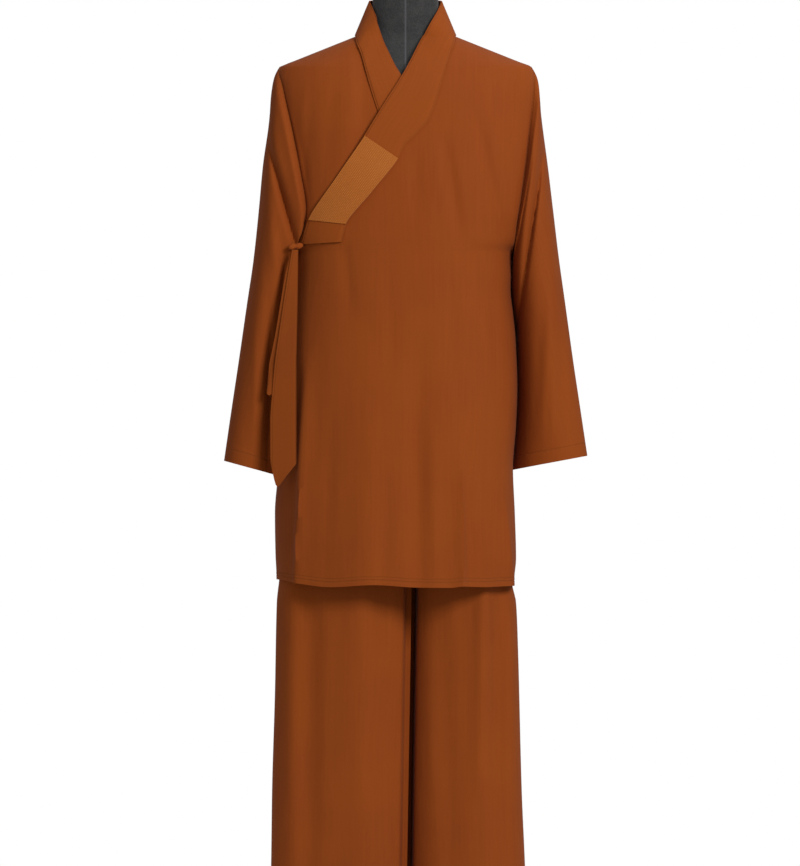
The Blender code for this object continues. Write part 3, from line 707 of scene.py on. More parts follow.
def makeUnderFront():
    edge = [(z, x) for x, z in underFront["edge"]]

    def at(c, z):
        low = panelEnd(-1, -1, z)
        high = acrossAt(readTable(edge, z), z)
        s = low + (high - low) * c
        x = torsoPoint(-1, s, z).x
        hold = ramp(*sideJoin, z) * (1 - min(1, c / 0.1))
        border = readTable(underFront["sink"], z, 1)
        farther, nearer = underFront["sinkOver"]
        sink = readTable(underFront["sink"], z, 2) * ramp(border - farther, border - nearer, x)
        out = (min(0, foldHeight(frontPanel["folds"], x, z)) - sink) * (1 - hold)
        away = edgeWindow(s, low, high, z)
        soft = foldHeight(underFront["creases"], x, z) + drape(x, z, 4.0, 0.6)
        out += soft * away * ramp(*underFront["creased"], z)
        point = torsoPoint(-1, s, z, out)
        point += armGroove(-1, -1, z, alongPanel(s, low, z), underFront["grooveWide"])
        if atSideSeam(s):
            point.y = -seam / 2
        return point

    def lean(c, z):
        return panelLean(-1, -1, z) if c == 0 else None

    columns = [0, 0.01, 0.02] + spaced(0.04, 0.97, 0.93 / underFront["columns"]) + [0.985, 1]
    rows = panelRows(hemZ + underFront["hemUp"], underFront["step"])
    return clothSheet("front_right_cloth", columns, rows, at, underFront["wall"], lean, plumb=True)


backPanel = {
    "wall": 1.6,
    "step": 7.0,
    "columns": 76,
    "hemUp": 6,
    "grooveWide": 0.8,
    "tuck": 5.4,  # it lies in by this at the wearer's right side, level with the under front
    "tuckOver": (150, 178),
    "folds": [
        (-130, 1010, -150, 470, 20, 6.0), (-80, 1000, -84, 480, 22, -5.0), (-10, 960, -6, 460, 22, 5.0),
        (70, 1010, 76, 480, 20, -4.5), (132, 980, 142, 480, 16, 5.0), (-150, 1330, -60, 1130, 16, -3.0),
        (152, 1320, 70, 1120, 16, -3.0),
    ],
    "creases": [
        (-104, 900, -118, 540, 8, 1.6), (-34, 930, -40, 540, 9, -1.4), (30, 880, 36, 540, 8, 1.5),
        (104, 920, 110, 540, 8, -1.3), (-160, 820, -172, 560, 7, 1.4), (120, 1290, 60, 1150, 8, -1.3),
        (-120, 1290, -50, 1160, 8, -1.3), (0, 1400, 4, 1180, 14, -1.0), (50, 1120, 56, 930, 10, -0.9),
    ],
}


def makeBack():
    def at(c, z):
        left, right = panelEnd(1, 1, z), panelEnd(-1, 1, z)
        s = left + (right - left) * c
        x = torsoPoint(1, s, z).x
        out = foldHeight(backPanel["folds"], x, z) + foldHeight(backPanel["creases"], x, z)
        out += drape(x, z, 7.0)
        out = out * edgeWindow(s, left, right, z) + hemShape(jacketHem, z - hemZ - backPanel["hemUp"])
        out -= backPanel["tuck"] * ramp(*backPanel["tuckOver"], -x) * (1 - ramp(*sideJoin, z))
        point = torsoPoint(1, s, z, out)
        for side, end in ((1, left), (-1, right)):
            point += armGroove(side, 1, z, alongPanel(s, end, z), backPanel["grooveWide"])
        if atSideSeam(s):
            point.y = seam / 2
        return point

    def lean(c, z):
        return panelLean(1 if c == 0 else -1, 1, z) if c in (0, 1) else None

    columns = panelColumns(backPanel["columns"])
    rows = panelRows(hemZ + backPanel["hemUp"], backPanel["step"])
    return clothSheet("back_cloth", columns, rows, at, backPanel["wall"], lean, plumb=True)


outerFront = makeOuterFront()
dress(outerFront, "front_left", jacketLook)
innerFront = makeUnderFront()
dress(innerFront, "front_right", underLook)
back = makeBack()
dress(back, "back_panel", jacketLook)
print("jacket panels made")


sleeveLong = 620.0  # armhole to cuff, for the spacing of the rows
sleeveSeamGap = (0.45, 0.80)  # from the armhole, at the shoulder and at the underarm
sleeveFlat = 0.9  # power of the sleeve's cross-section along its width
sleeveSet = 0.26  # share of the sleeve over which it takes the armhole's shape
# share along the sleeve, outer x, outer z, inner x, inner z, front depth, back depth, inner y
leftSleeve = {
    "name": "sleeve_left_cloth",
    "side": 1,
    "wall": 1.6,
    "shape": [
        (0.00, 201.0, 1432, 172.0, 1135, 62, 60, 0), (0.04, 207.5, 1420, 171.5, 1126, 65, 62, 5),
        (0.10, 212.5, 1390, 169.8, 1110, 69, 66, 18), (0.20, 219.0, 1338, 167.0, 1078, 74, 67, 40),
        (0.32, 227.5, 1275, 169.5, 1040, 75, 67, 50), (0.45, 236.5, 1200, 173.5, 1000, 71, 62, 56),
        (0.58, 245.5, 1125, 175.5, 955, 65, 57, 56), (0.70, 256.0, 1050, 176.0, 912, 59, 52, 55),
        (0.82, 268.5, 960, 175.0, 866, 53, 48, 52), (0.92, 280.5, 880, 173.0, 822, 47, 45, 47),
        (1.00, 291.0, 809.6, 170.0, 787, 42, 42, 42),
    ],
    "folds": [
        (246, 1460, 164, 920, 7, -8.0), (218, 1420, 172, 1050, 8, 6.0), (243, 1260, 226, 820, 14, 4.0),
        (254, 1060, 250, 850, 11, -3.5),
    ],
    "creases": [
        (246, 1460, 164, 920, 2.8, -6.0), (236, 1390, 184, 1010, 4, 2.6),
        (252, 1130, 240, 830, 7, -1.2), (262, 1000, 262, 830, 6, 1.0), (232, 980, 226, 820, 5, -1.6),
        (222, 1080, 206, 860, 8, -1.4), (232, 1340, 222, 1180, 7, -1.0),
    ],
}
rightSleeve = {
    "name": "sleeve_right_cloth",
    "side": -1,
    "wall": 1.6,
    "shape": [
        (0.00, 201.0, 1432, 181.5, 1135, 62, 60, 0), (0.04, 207.5, 1420, 183.5, 1126, 66, 62, 0),
        (0.10, 213.5, 1390, 185.0, 1110, 71, 66, 0), (0.20, 219.0, 1338, 186.5, 1078, 76, 69, 0),
        (0.32, 228.0, 1275, 190.8, 1040, 76, 70, 0), (0.45, 235.0, 1200, 194.8, 1000, 72, 68, 0),
        (0.58, 243.0, 1125, 198.4, 955, 67, 64, 0), (0.70, 254.0, 1050, 201.4, 912, 62, 60, 0),
        (0.82, 267.0, 960, 203.4, 866, 58, 57, 0), (0.92, 279.0, 880, 205.4, 822, 54, 54, 0),
        (1.00, 290.4, 801.6, 207.0, 779, 51, 52, 0),
    ],
    "folds": [
        (-243, 1390, -147, 1050, 8, -8.0), (-207, 1420, -153, 1130, 8, 3.5),
        (-233, 1120, -238, 800, 12, 5.0), (-214, 1080, -216, 800, 12, -4.0),
    ],
    "creases": [
        (-242, 1390, -149, 1050, 3.0, -6.0), (-204, 1400, -151, 1140, 4, 1.2),
        (-232, 1060, -235, 810, 5, -2.0), (-256, 1100, -264, 830, 8, -1.0),
        (-214, 1060, -220, 820, 4, -2.0), (-226, 1240, -222, 1080, 8, -1.3),
        (-244, 1160, -250, 960, 7, 1.0),
    ],
}


def makeSleeve(sleeve):
    side, shape = sleeve["side"], sleeve["shape"]
    middle, reach = (shoulderZ + underarmZ) / 2, (shoulderZ - underarmZ) / 2

    def ring(k, angle, face):
        out = Vector((side * readTable(shape, k, 1), 0, readTable(shape, k, 2)))
        low = Vector((side * readTable(shape, k, 3), 0, readTable(shape, k, 4)))
        turned = math.cos(angle)
        along = abs(turned) ** sleeveFlat * (1 if turned > 0 else -1)
        point = (out + low) / 2 + (out - low) / 2 * along
        point.y = face * readTable(shape, k, 5 if face < 0 else 6) * max(0.0, math.sin(angle)) ** tubeRound
        point.y += readTable(shape, k, 7) * ((1 - along) / 2) ** 3
        return point

    def at(c, r):
        # c runs 0 to 2 round the arm, front half first; r runs from the cuff, 0, to the armhole, 1
        angle = math.pi * (c if c <= 1 else 2 - c)
        face = -1 if c <= 1 else 1
        seamLine = c in (0, 1, 2)
        if seamLine:
            face = -1
        k = 1 - r
        z = middle + reach * math.cos(angle)
        nearest, widest = sleeveSeamGap
        away = nearest + (widest - nearest) * (1 - ramp(underarmZ + 15, 1200, z))
        edge = torsoPoint(face, armholeTurn(side, face, z), z) + Vector((side * away, 0, 0))
        point = ring(k, angle, face)
        if seamLine:
            edge.y = 0.0
        point += (edge - ring(0, angle, face)) * (1 - ramp(0, sleeveSet, k))
        if not seamLine:
            point += armGroove(side, face, z, (point - edge).length)
        if not seamLine and k > 0:
            soft = math.sin(angle) ** 0.5 * ramp(0, 0.05, k)
            lift = drape(point.x + point.z * 0.3, point.z, 12.0 + side, 0.9)
            if face < 0:
                lift += foldHeight(sleeve["folds"], point.x, point.z)
                lift += foldHeight(sleeve["creases"], point.x, point.z)
            point.y += face * lift * soft
        if not seamLine:
            point.y += face * hemShape(cuffHem, r * sleeveLong) * math.sin(angle)
        return point

    def lean(c, r):
        if r < 1:
            return None
        angle = math.pi * (c if c <= 1 else 2 - c)
        return armLean(side, -1 if c <= 1 else 1, middle + reach * math.cos(angle))

    half = spaced(0, 1, 1 / 44)
    columns = half + [2 - c for c in reversed(half[:-1])]
    if side > 0:
        columns = [2 - c for c in columns]
    rows = [k / sleeveLong for k in (0, 1.4, 3, 6, 10, 14, 17.5, 19.4, 20.6, 21.8, 24, 28)]
    rows += spaced(36 / sleeveLong, 0.97, 0.0125) + [0.985, 0.993, 1]
    return clothSheet(sleeve["name"], columns, rows, at, sleeve["wall"], lean, tube=True)


sleeves = [makeSleeve(leftSleeve), makeSleeve(rightSleeve)]
for piece, node in zip(sleeves, ("sleeve_left", "sleeve_right")):
    dress(piece, node, sleeveLook)
print("sleeves made")


neckBand = {
    "wall": 2.4,
    "lift": 1.2,
    # station, sewn edge x, y, z, free edge x, y, z, how far it lies on the chest
    "stations": [
        (0, 0.2, 66, 1480.6, 0.2, 63.5, 1541, 0), (1, 31, 63.2, 1480.6, 22.5, 61, 1541, 0),
        (2, 57.3, 52, 1480.6, 41.5, 50, 1540, 0), (3, 74.8, 31.8, 1480.6, 54, 30, 1539, 0),
        (4, 81.3, 1, 1482.4, 58.5, 2, 1537, 0), (4.5, 80.8, -21, 1480.4, 55, -10, 1529, 0),
        (5, 78, -43, 1468.8, 50, -22, 1519, 0), (6, 70.9, -61.8, 1450.5, 37.6, -41, 1497.6, 0.3),
        (7, 61.6, -80, 1417.6, 20, -57, 1464, 1), (8, 52, -92, 1384.5, 4, -78, 1432, 1),
        (9, 36.8, 0, 1344.3, -12, 0, 1404.8, 1), (10, 15.2, 0, 1320, -32.8, 0, 1372.8, 1),
        (11, -3.4, 0, 1300.8, -50.4, 0, 1344, 1), (12, -11, 0, 1282.4, -65.3, 0, 1319.5, 1),
        (13, -52, 0, 1230.4, -110, 0, 1253, 1), (14, -93, 0, 1178.7, -153, 0, 1186, 1),
        (15, -100.8, 0, 1150.4, -163.5, 0, 1148, 1),
    ],
    # station, how much deeper the under band lies
    "sink": [(0, 0), (5, 0), (6, 1.8), (7, 5.0), (8, 6.2), (15, 6.2)],
    # station, how much further out the under band's free edge lies
    "opened": [(0, 0), (5, 0), (6, 6), (7, 11), (8, 11), (9, 9), (10.5, 8)],
    # edge, depth and half width of the roll there: 0 is the sewn edge, 1 the free one
    "rolls": [(0, 1.5, 0.05), (1, 1.0, 0.035)],
    "outerEnd": 15,
    "underEnd": 10.5,
}


def bandPoint(t, w, side=1, sink=0.0):
    # t runs along the stations, w from the sewn to the free edge
    stations = neckBand["stations"]
    sewn = Vector([readTable(stations, t, c) for c in (1, 2, 3)])
    free = Vector([readTable(stations, t, c) for c in (4, 5, 6)])
    if side < 0:
        free.x += readTable(neckBand["opened"], t)
    flat = sewn.lerp(free, w)
    lie = readTable(stations, t, 7)
    out = neckBand["wall"] + neckBand["lift"] - sink
    mirror = Vector((side, 1, 1))
    if t > 5:
        sewn = sewn.lerp(chestPoint(side * sewn.x, sewn.z, out) * mirror, ramp(5, 5.6, t))
    free.y += sink
    point = sewn.lerp(free, w)
    if lie > 0:
        flat = chestPoint(side * flat.x, flat.z, out) * mirror
        point = point.lerp(flat, lie)
    return point * mirror


def spreadPoint(point, t, w, out):
    stepT = point(t + 0.02, w) - point(t - 0.02, w)
    stepW = point(t, w + 0.02) - point(t, w - 0.02)
    return point(t, w) + stepW.cross(stepT).normalized() * out


def makeBand(name, side, end, sinks):
    def at(c, t):
        w = c if side > 0 else 1 - c
        point = bandPoint(t, w, side, readTable(neckBand["sink"], t) if sinks else 0.0)
        # the folded band is fullest along its middle and rolls down at both edges
        roll = sum(deep * math.exp(-(((w - edge) / half) ** 2)) for edge, deep, half in neckBand["rolls"])
        if t > 5.2:
            point.y += roll * ramp(5.2, 6.2, t)
        return point

    def lean(c, t):
        return (Vector((0, 1, 0)), 1.0) if t == 0 else None

    columns = [0, 0.015, 0.035, 0.06, 0.1] + spaced(0.16, 0.84, 0.085) + [0.9, 0.94, 0.965, 0.985, 1]
    rows = spaced(0, 4, 0.12) + spaced(4.1, 8, 0.1) + spaced(8.12, end, 0.12)
    return clothSheet(name, columns, rows, at, neckBand["wall"], lean)


outerBand = makeBand("collar_left_cloth", 1, neckBand["outerEnd"], False)
dress(outerBand, "collar_left", bandLook)
underBand = makeBand("collar_right_cloth", -1, neckBand["underEnd"], True)
dress(underBand, "collar_right", bandLook)

# dark is the patch's darker yarn tone, and also the painted shade in its stitch dents
sewnPatch = {
    "wall": 1.2, "lift": 0.5, "wide": 63.0, "rowPitch": 3.1, "rowDeep": 0.28, "ends": (12, 14),
    "stitch": 0.0029, "shift": 0.00132, "weave": 0.0009,
    "colour": (0.385, 0.105, 0.014), "dark": (0.275, 0.066, 0.008), "light": (0.450, 0.135, 0.022),
    "thread": (0.560, 0.195, 0.038),
}


def makePatch():
    def at(w, t):
        quilt = math.cos(2 * math.pi * w * sewnPatch["wide"] / sewnPatch["rowPitch"])
        rim = ramp(0.015, 0.04, w) * (1 - ramp(0.96, 0.985, w))
        out = sewnPatch["wall"] + sewnPatch["lift"] - sewnPatch["rowDeep"] * (0.5 + 0.5 * quilt) * rim
        return spreadPoint(bandPoint, t, w, out)

    columns = spaced(0.015, 0.985, 0.0125)
    rows = spaced(sewnPatch["ends"][0], sewnPatch["ends"][1], 0.045)
    return clothSheet("collar_patch_cloth", columns, rows, at, sewnPatch["wall"])


def makePatchLook():
    look, tree, shader = newLook("stitchedPatch", 0.72, 0.1)
    place = flatPlace(tree)
    flat = split(tree, place)
    pitch = sewnPatch["rowPitch"] * mm
    rows = calc(tree, "DIVIDE", flat[0], pitch)
    which = calc(tree, "FLOOR", calc(tree, "ADD", rows, 0.5))
    across = times(tree, calc(tree, "ABSOLUTE", calc(tree, "SUBTRACT", rows, which)), pitch)
    shifted = raised(tree, flat[1], which, sewnPatch["shift"])
    stitch = useGroup(
        tree, stitchGroup, Across=across, Along=shifted, Row=0.0, Pitch=sewnPatch["stitch"], Width=0.0006,
    )
    weave = useGroup(tree, weaveGroup, Vector=place, Pitch=sewnPatch["weave"])
    dye = useGroup(tree, dyeGroup, Vector=place, Object=bodyPlace(tree))
    colour = tint(tree, (*sewnPatch["colour"], 1), dye["Patch"], 0.5, sewnPatch["light"])
    colour = tint(tree, colour, weave["Yarn"], 0.25, sewnPatch["dark"])
    # painted shade: the patch darkens along each stitch's dent, where shade falls in the groove
    colour = tint(tree, colour, stitch["Dent"], 0.25, sewnPatch["dark"])
    colour = tint(tree, colour, stitch["Thread"], 0.75, sewnPatch["thread"])
    height = raised(tree, times(tree, weave["Height"], 0.00008), stitch["Thread"], 0.0003)
    rough = calc(tree, "MULTIPLY_ADD", stitch["Thread"], -0.15, 0.74)
    finishLook(tree, shader, colour, rough, height)
    return look


patchPiece = makePatch()
dress(patchPiece, "collar_patch", makePatchLook())
print("neck bands made")


tieEndLong = 40  # the pointed end, measured down the tie
# height, outer edge x, inner edge x, outer edge y, inner edge y, then the pointed end
longTie = {
    "name": "tie_long_cloth",
    "wall": 1.4,
    "run": [
        (1138.2, -181, -171, -83.8, -83.8), (1095, -188, -171.5, -86, -86.5),
        (1001, -202, -173, -86, -87), (957, -208, -174, -84, -89), (910, -212, -174, -83, -91),
        (867, -215, -174, -82, -92), (805, -215, -174, -82, -92),
    ],
    "end": [(-214, 796), (-211, 780), (-204, 760), (-190, 777), (-174, 797)],
}
shortTie = {
    "name": "tie_short_cloth",
    "wall": 1.4,
    "run": [
        (1137.4, -182, -174, -81.6, -81.6), (1095, -192, -176, -83.6, -84),
        (1001, -208, -180, -82.0, -83.8), (957, -217, -183, -78.0, -83.4),
    ],
    "end": [(-219.5, 918), (-220.5, 909), (-216, 906), (-203, 920), (-184, 938)],
}


def makeTie(tie):
    run = sorted(tie["run"])
    last = tie["run"][-1]
    top = tie["run"][0][0]
    straight = top - last[0]

    def at(w, d):
        # d is the distance down the tie, and past the straight run it closes to the point
        if d <= straight:
            z = top - d
            outX, inX, outY, inY = [readTable(run, z, c) for c in (1, 2, 3, 4)]
            return Vector((outX + (inX - outX) * w, outY + (inY - outY) * w, z))
        t = (d - straight) / tieEndLong
        start = Vector((last[1] + (last[2] - last[1]) * w, 0, last[0]))
        lowX, lowZ = edgePoint(tie["end"], w)
        point = start.lerp(Vector((lowX, 0, lowZ)), t)
        point.y = last[3] + (last[4] - last[3]) * w
        return point

    rows = spaced(0, straight, 6) + spaced(straight + 4, straight + tieEndLong, 4)
    columns = [0, 0.04, 0.1] + spaced(0.18, 0.82, 0.08) + [0.9, 0.96, 1]
    return clothSheet(tie["name"], columns, rows, at, tie["wall"])


knot = {
    "x": -175.1, "y": -79.9, "z": 1143.7, "half": (12.0, 6.0, 6.2),
    "slant": (2.4, 1.5),  # how far it slants in y and z
    "drawn": 0.28,  # how much its middle is drawn in
}


def makeKnot():
    bm = bmesh.new()
    bmesh.ops.create_uvsphere(bm, u_segments=48, v_segments=32, radius=1)
    hx, hy, hz = knot["half"]
    slantY, slantZ = knot["slant"]
    for vert in bm.verts:
        x, y, z = vert.co
        pinch = 1 - knot["drawn"] * math.exp(-((x / 0.3) ** 2))
        # the wrapped cloth shows as three broad and seven narrow turns
        turn = math.atan2(z, y)
        wrap = 1 - 0.09 * (0.5 + 0.5 * math.cos(3 * turn + 5 * x))
        wrap -= 0.05 * (0.5 + 0.5 * math.cos(7 * turn - 9 * x))
        vert.co = Vector((
            knot["x"] + hx * x,
            knot["y"] + hy * y * pinch * wrap + slantY * x,
            knot["z"] + hz * z * pinch * wrap + slantZ * x,
        ))
    uv = bm.loops.layers.uv.new("clothUv")
    for face in bm.faces:
        face.smooth = True
        for loop in face.loops:
            loop[uv].uv = (loop.vert.co.x * mm, loop.vert.co.z * mm)
    bmesh.ops.scale(bm, vec=(mm, mm, mm), verts=bm.verts[:])
    return finishMesh("tie_knot_cloth", bm)


ties = [makeTie(longTie), makeTie(shortTie)]
for piece, node in zip(ties, ("tie_long", "tie_short")):
    dress(piece, node, shadedTieLook)
knotPiece = makeKnot()
dress(knotPiece, "tie_knot", knotLook)
print("ties made")


# height, inner x, outer x, front depth, back depth
trousers = {
    "wall": 1.6,
    "step": 9.0,
    "columns": 40,
    "left": [
        (45, -1.2, 195, 72, 76), (160, 0.7, 191, 72, 76), (275, 2.5, 186, 73, 76),
        (505, 6.2, 180, 76, 78), (575, 7.3, 177, 78, 79), (606, 7.5, 170.5, 79, 80),
        (690, 8.1, 167, 82, 82), (750, 7.4, 167, 85, 84),
    ],
    "right": [
        (45, 0.8, -217.5, 72, 76), (160, 2.7, -215, 72, 76), (275, 4.5, -213.5, 73, 76),
        (429, 7.0, -209, 75, 77), (575, 9.3, -206, 78, 79), (608, 9.6, -202.5, 79, 80),
        (690, 7.5, -194, 82, 82), (750, 6.6, -191, 85, 84),
    ],
    "crotchX": 7,  # the centre seam starts this far off the middle
    "stagger": 22.0,  # the inner seams hang one a little behind the other
    "slotFloor": 7.0,  # half width of the dark slot between the legs, at its floor
    "slotWide": 13.0,  # and at its mouth
    "slotPast": 3.0,  # its floor lies this far in front of the inner seam
    "slotTop": (660, 780),  # heights over which it closes
    "staggerTop": (650, 735),
    "hips": [
        (750, 167, 191, 100, 94), (860, 168, 185, 105, 97), (950, 162, 172, 104, 95),
        (1039.6, 141.2, 141.2, 95.2, 89.2),
    ],
    "frontFolds": [
        (130, 800, 116, 260, 11, 8.0), (152, 760, 148, 120, 12, -9.0), (60, 620, 74, 80, 18, -5.0),
        (-152, 780, -154, 40, 16, -9.0), (-70, 800, -74, 60, 26, 10.0), (-184, 700, -182, 60, 12, 4.0),
    ],
    "backFolds": [
        (110, 740, 104, 120, 22, 5.0), (60, 700, 66, 200, 18, -5.0), (-90, 740, -96, 120, 22, 5.0),
        (-150, 700, -140, 140, 20, -5.0),
    ],
    "creases": [
        (134, 700, 124, 240, 6, 1.4), (142, 690, 140, 260, 6, -1.4), (-98, 700, -104, 200, 9, 1.6),
        (-138, 690, -140, 160, 8, -2.0), (90, 660, 96, 260, 9, -1.0), (36, 640, 40, 180, 8, 1.0),
        (-70, 560, -84, 140, 9, -1.0),
    ],
}


def makeTrouser(name, side, face):
    table = trousers["left"] if side > 0 else trousers["right"]
    folds = trousers["frontFolds"] if face < 0 else trousers["backFolds"]

    def leg(u, z):
        inner, outer = readTable(table, z, 1), readTable(table, z, 2)
        turned = math.cos(math.pi * u)
        across = abs(turned) ** tubeRound * (1 if turned > 0 else -1)
        x = (inner + outer) / 2 + (outer - inner) / 2 * across
        y = face * readTable(table, z, 3 if face < 0 else 4) * max(0.0, math.sin(math.pi * u)) ** tubeRound
        behind = side * trousers["stagger"] * (1 - ramp(*trousers["staggerTop"], z)) * u**3
        return Vector((x, y + behind, z))

    def hip(u, z):
        wide = readTable(trousers["hips"], z, 1 if side > 0 else 2)
        centre = trousers["crotchX"] * (1 - ramp(crotchZ, waistZ, z))
        angle = math.pi / 2 * u
        x = centre + (side * wide - centre) * max(0.0, math.cos(angle)) ** tubeRound
        deep = readTable(trousers["hips"], z, 3 if face < 0 else 4)
        return Vector((x, face * deep * math.sin(angle) ** tubeRound, z))

    def at(c, z):
        # c runs from the side seam, 0, to the inner or centre seam, 1
        point = leg(c, z).lerp(hip(c, z), ramp(crotchZ, hipZ, z))
        if 0 < c < 1:
            window = ramp(0, 0.06, c) * ramp(0, 0.06, 1 - c)
            lift = foldHeight(folds, point.x, z)
            lift += foldHeight(trousers["creases"], point.x * -face, z) * 0.9
            lift += drape(point.x, z, 20 + side + face) + 0.4
            point.y += face * lift * window
            if face < 0:
                # the dark slot where the legs hang side by side
                deep = leg(1, z).y - trousers["slotPast"]
                slot = 1 - ramp(trousers["slotFloor"], trousers["slotWide"], abs(point.x - leg(1, z).x))
                point.y += max(0.0, deep - point.y) * slot * (1 - ramp(*trousers["slotTop"], z))
        if c == 0:
            point.y += face * seam / 2
        if c == 1:
            apart = ramp(crotchZ, hipZ, z)
            point.x += side * seam / 2 * apart
            point.y += face * seam / 2 * (1 - apart)
        return point

    def lean(c, z):
        if c == 0:
            return Vector((side, 0, 0)), 1.0
        if c == 1:
            w = ramp(crotchZ, hipZ, z)
            return Vector((-side * (1 - w), face * w, 0)).normalized(), 1.0
        return None

    columns = [0, 0.008, 0.02] + spaced(0.04, 0.79, 0.92 / trousers["columns"])
    columns += spaced(0.805, 0.955, 0.0125) + [0.98, 0.992, 1]
    if side * face < 0:
        columns = columns[::-1]
    rows = [trouserHemZ + k for k in (0, 1.5, 4, 9, 14, 18, 20, 22, 24, 26, 30)]
    rows += spaced(trouserHemZ + 39, trouserTopZ, trousers["step"])
    return clothSheet(name, columns, rows, at, trousers["wall"], lean)


legs = {}
for side, sideName in ((1, "left"), (-1, "right")):
    for face, faceName in ((-1, "front"), (1, "back")):
        node = f"trouser_{faceName}_{sideName}"
        legs[node] = makeTrouser(node + "_cloth", side, face)
        dress(legs[node], node, trouserLook)


waistband = {
    "wall": 2.0, "high": 35, "half": 141.2, "front": 95.2, "back": 89.2, "power": 0.87,
    "gathers": 46, "gatherOut": 0.7, "around": 276,
}


def makeWaistband():
    def at(c, h):
        angle = 2 * math.pi * c
        cos, sin = math.cos(angle), math.sin(angle)
        deep = waistband["front" if sin < 0 else "back"]
        gather = waistband["gatherOut"] * math.sin(angle * waistband["gathers"])
        gather *= math.sin(math.pi * h / waistband["high"])
        x = (waistband["half"] + gather) * abs(cos) ** waistband["power"] * (1 if cos > 0 else -1)
        y = (deep + gather) * abs(sin) ** waistband["power"] * (1 if sin > 0 else -1)
        return Vector((x, y, waistZ + h))

    columns, rows = spaced(0, 1, 1 / waistband["around"]), spaced(0, waistband["high"], 3.5)
    return clothSheet("trouser_waistband_cloth", columns, rows, at, waistband["wall"], tube=True)


waistPiece = makeWaistband()
dress(waistPiece, "trouser_waistband", waistLook)
print("trousers made")


dressForm = {
    "around": 96,
    "step": 7.0,
    "seamDeep": 0.5,
    "seamHalf": 2.2,
    # height, half width, front depth, back depth, roundness
    "shape": [
        (900, 104, 58, 56, 2.2), (904, 130, 76, 72, 2.2), (916, 143, 90, 84, 2.3),
        (940, 149, 97, 89, 2.3), (980, 147, 98, 90, 2.3), (1030, 138.6, 92.6, 86.6, 2.3),
        (1085, 138.6, 92.6, 86.6, 2.3), (1130, 146, 104, 95, 2.3), (1200, 152, 108, 102, 2.3),
        (1260, 159, 106, 104, 2.3),
        (1310, 167, 100, 101, 2.3), (1360, 177, 91, 96, 2.3), (1400, 186, 79, 91, 2.3),
        (1420, 189, 71, 86, 2.3), (1430, 186, 65, 82, 2.2), (1440, 168, 57, 78, 2.2),
        (1456, 130, 47, 70, 2.1), (1470, 94, 42, 63, 2.0), (1477, 74, 39, 60, 2.0),
        (1488, 57, 38.5, 57, 2.0), (1505, 52.8, 39, 56, 2.0), (1550, 52.5, 40, 56, 2.0),
        (1557, 48.5, 37, 52, 2.0), (1560, 39.5, 29, 42, 2.0),
    ],
}


def makeForm():
    bm = bmesh.new()
    around = dressForm["around"]
    heights = [900, 902, 904, 907, 911] + spaced(916, 1420, dressForm["step"])
    heights += spaced(1424, 1490, 3) + spaced(1496, 1548, 6) + [1551, 1554, 1557, 1558.6, 1560]
    rings = []
    for z in heights:
        wide, front, behind, shape = [readTable(dressForm["shape"], z, c) for c in (1, 2, 3, 4)]
        ring = []
        for k in range(around):
            angle = 2 * math.pi * k / around
            cos, sin = math.cos(angle), math.sin(angle)
            deep = front if sin < 0 else behind
            # a shallow sewn seam runs up the middle of the front and the back
            sunk = dressForm["seamDeep"] * math.exp(-((wide * cos / dressForm["seamHalf"]) ** 2))
            x = wide * abs(cos) ** (2 / shape) * (1 if cos > 0 else -1)
            y = (deep * abs(sin) ** (2 / shape) - sunk) * (1 if sin > 0 else -1)
            ring.append(bm.verts.new((x, y, z)))
        rings.append([bm.edges.new((ring[k], ring[(k + 1) % around])) for k in range(around)])
    for low, high in zip(rings, rings[1:]):
        bmesh.ops.bridge_loops(bm, edges=low + high)
    for rim in (rings[0], rings[-1]):
        bmesh.ops.contextual_create(bm, geom=rim)
    bmesh.ops.recalc_face_normals(bm, faces=bm.faces[:])
    for face in bm.faces:
        face.smooth = len(face.verts) == 4
    bmesh.ops.scale(bm, vec=(mm, mm, mm), verts=bm.verts[:])
    return finishMesh("dress_form_cover", bm)


formJersey = {
    "pitch": 0.0011, "dark": (0.023, 0.023, 0.023), "light": (0.040, 0.0385, 0.0375),
    "nap": (0.080, 0.078, 0.076), "seam": (0.110, 0.105, 0.115),
}


def makeFormLook():
    look, tree, shader = newLook("formJersey", 0.88, 0.18, 0.25)
    place = bodyPlace(tree)
    weave = useGroup(tree, weaveGroup, Vector=place, Pitch=formJersey["pitch"])
    soft = between(tree, grain(tree, place, 60.0, 4.0), 0.35, 0.65)
    fine = between(tree, grain(tree, place, 420.0, 2.0), 0.3, 0.7)
    seamLine = between(tree, calc(tree, "ABSOLUTE", split(tree, place)[0]), 0.0006, 0.0022, 1.0, 0.0)
    colour = tint(tree, (*formJersey["dark"], 1), soft, 0.5, formJersey["light"])
    colour = tint(tree, colour, fine, 0.3, formJersey["nap"])
    colour = tint(tree, colour, seamLine, 0.5, formJersey["seam"])
    height = raised(tree, times(tree, weave["Height"], 0.0001), fine, 0.0002)
    finishLook(tree, shader, colour, calc(tree, "MULTIPLY_ADD", fine, 0.08, 0.84), height)
    return look


def makeTurned(name, profile, x):
    bm = bmesh.new()
    points = [bm.verts.new((r, 0, z)) for r, z in profile]
    edges = [bm.edges.new(pair) for pair in zip(points, points[1:])]
    bmesh.ops.spin(
        bm, geom=points + edges, cent=(0, 0, 0), axis=(0, 0, 1), angle=2 * math.pi, steps=96,
        use_merge=True,
    )
    bmesh.ops.remove_doubles(bm, verts=bm.verts[:], dist=1e-4)
    bmesh.ops.recalc_face_normals(bm, faces=bm.faces[:])
    for face in bm.faces:
        face.smooth = True
    for edge in bm.edges:
        if edge.calc_face_angle(0) > 0.6:
            edge.smooth = False
    bmesh.ops.translate(bm, vec=(x, 0, 0), verts=bm.verts[:])
    bmesh.ops.scale(bm, vec=(mm, mm, mm), verts=bm.verts[:])
    return finishMesh(name, bm)


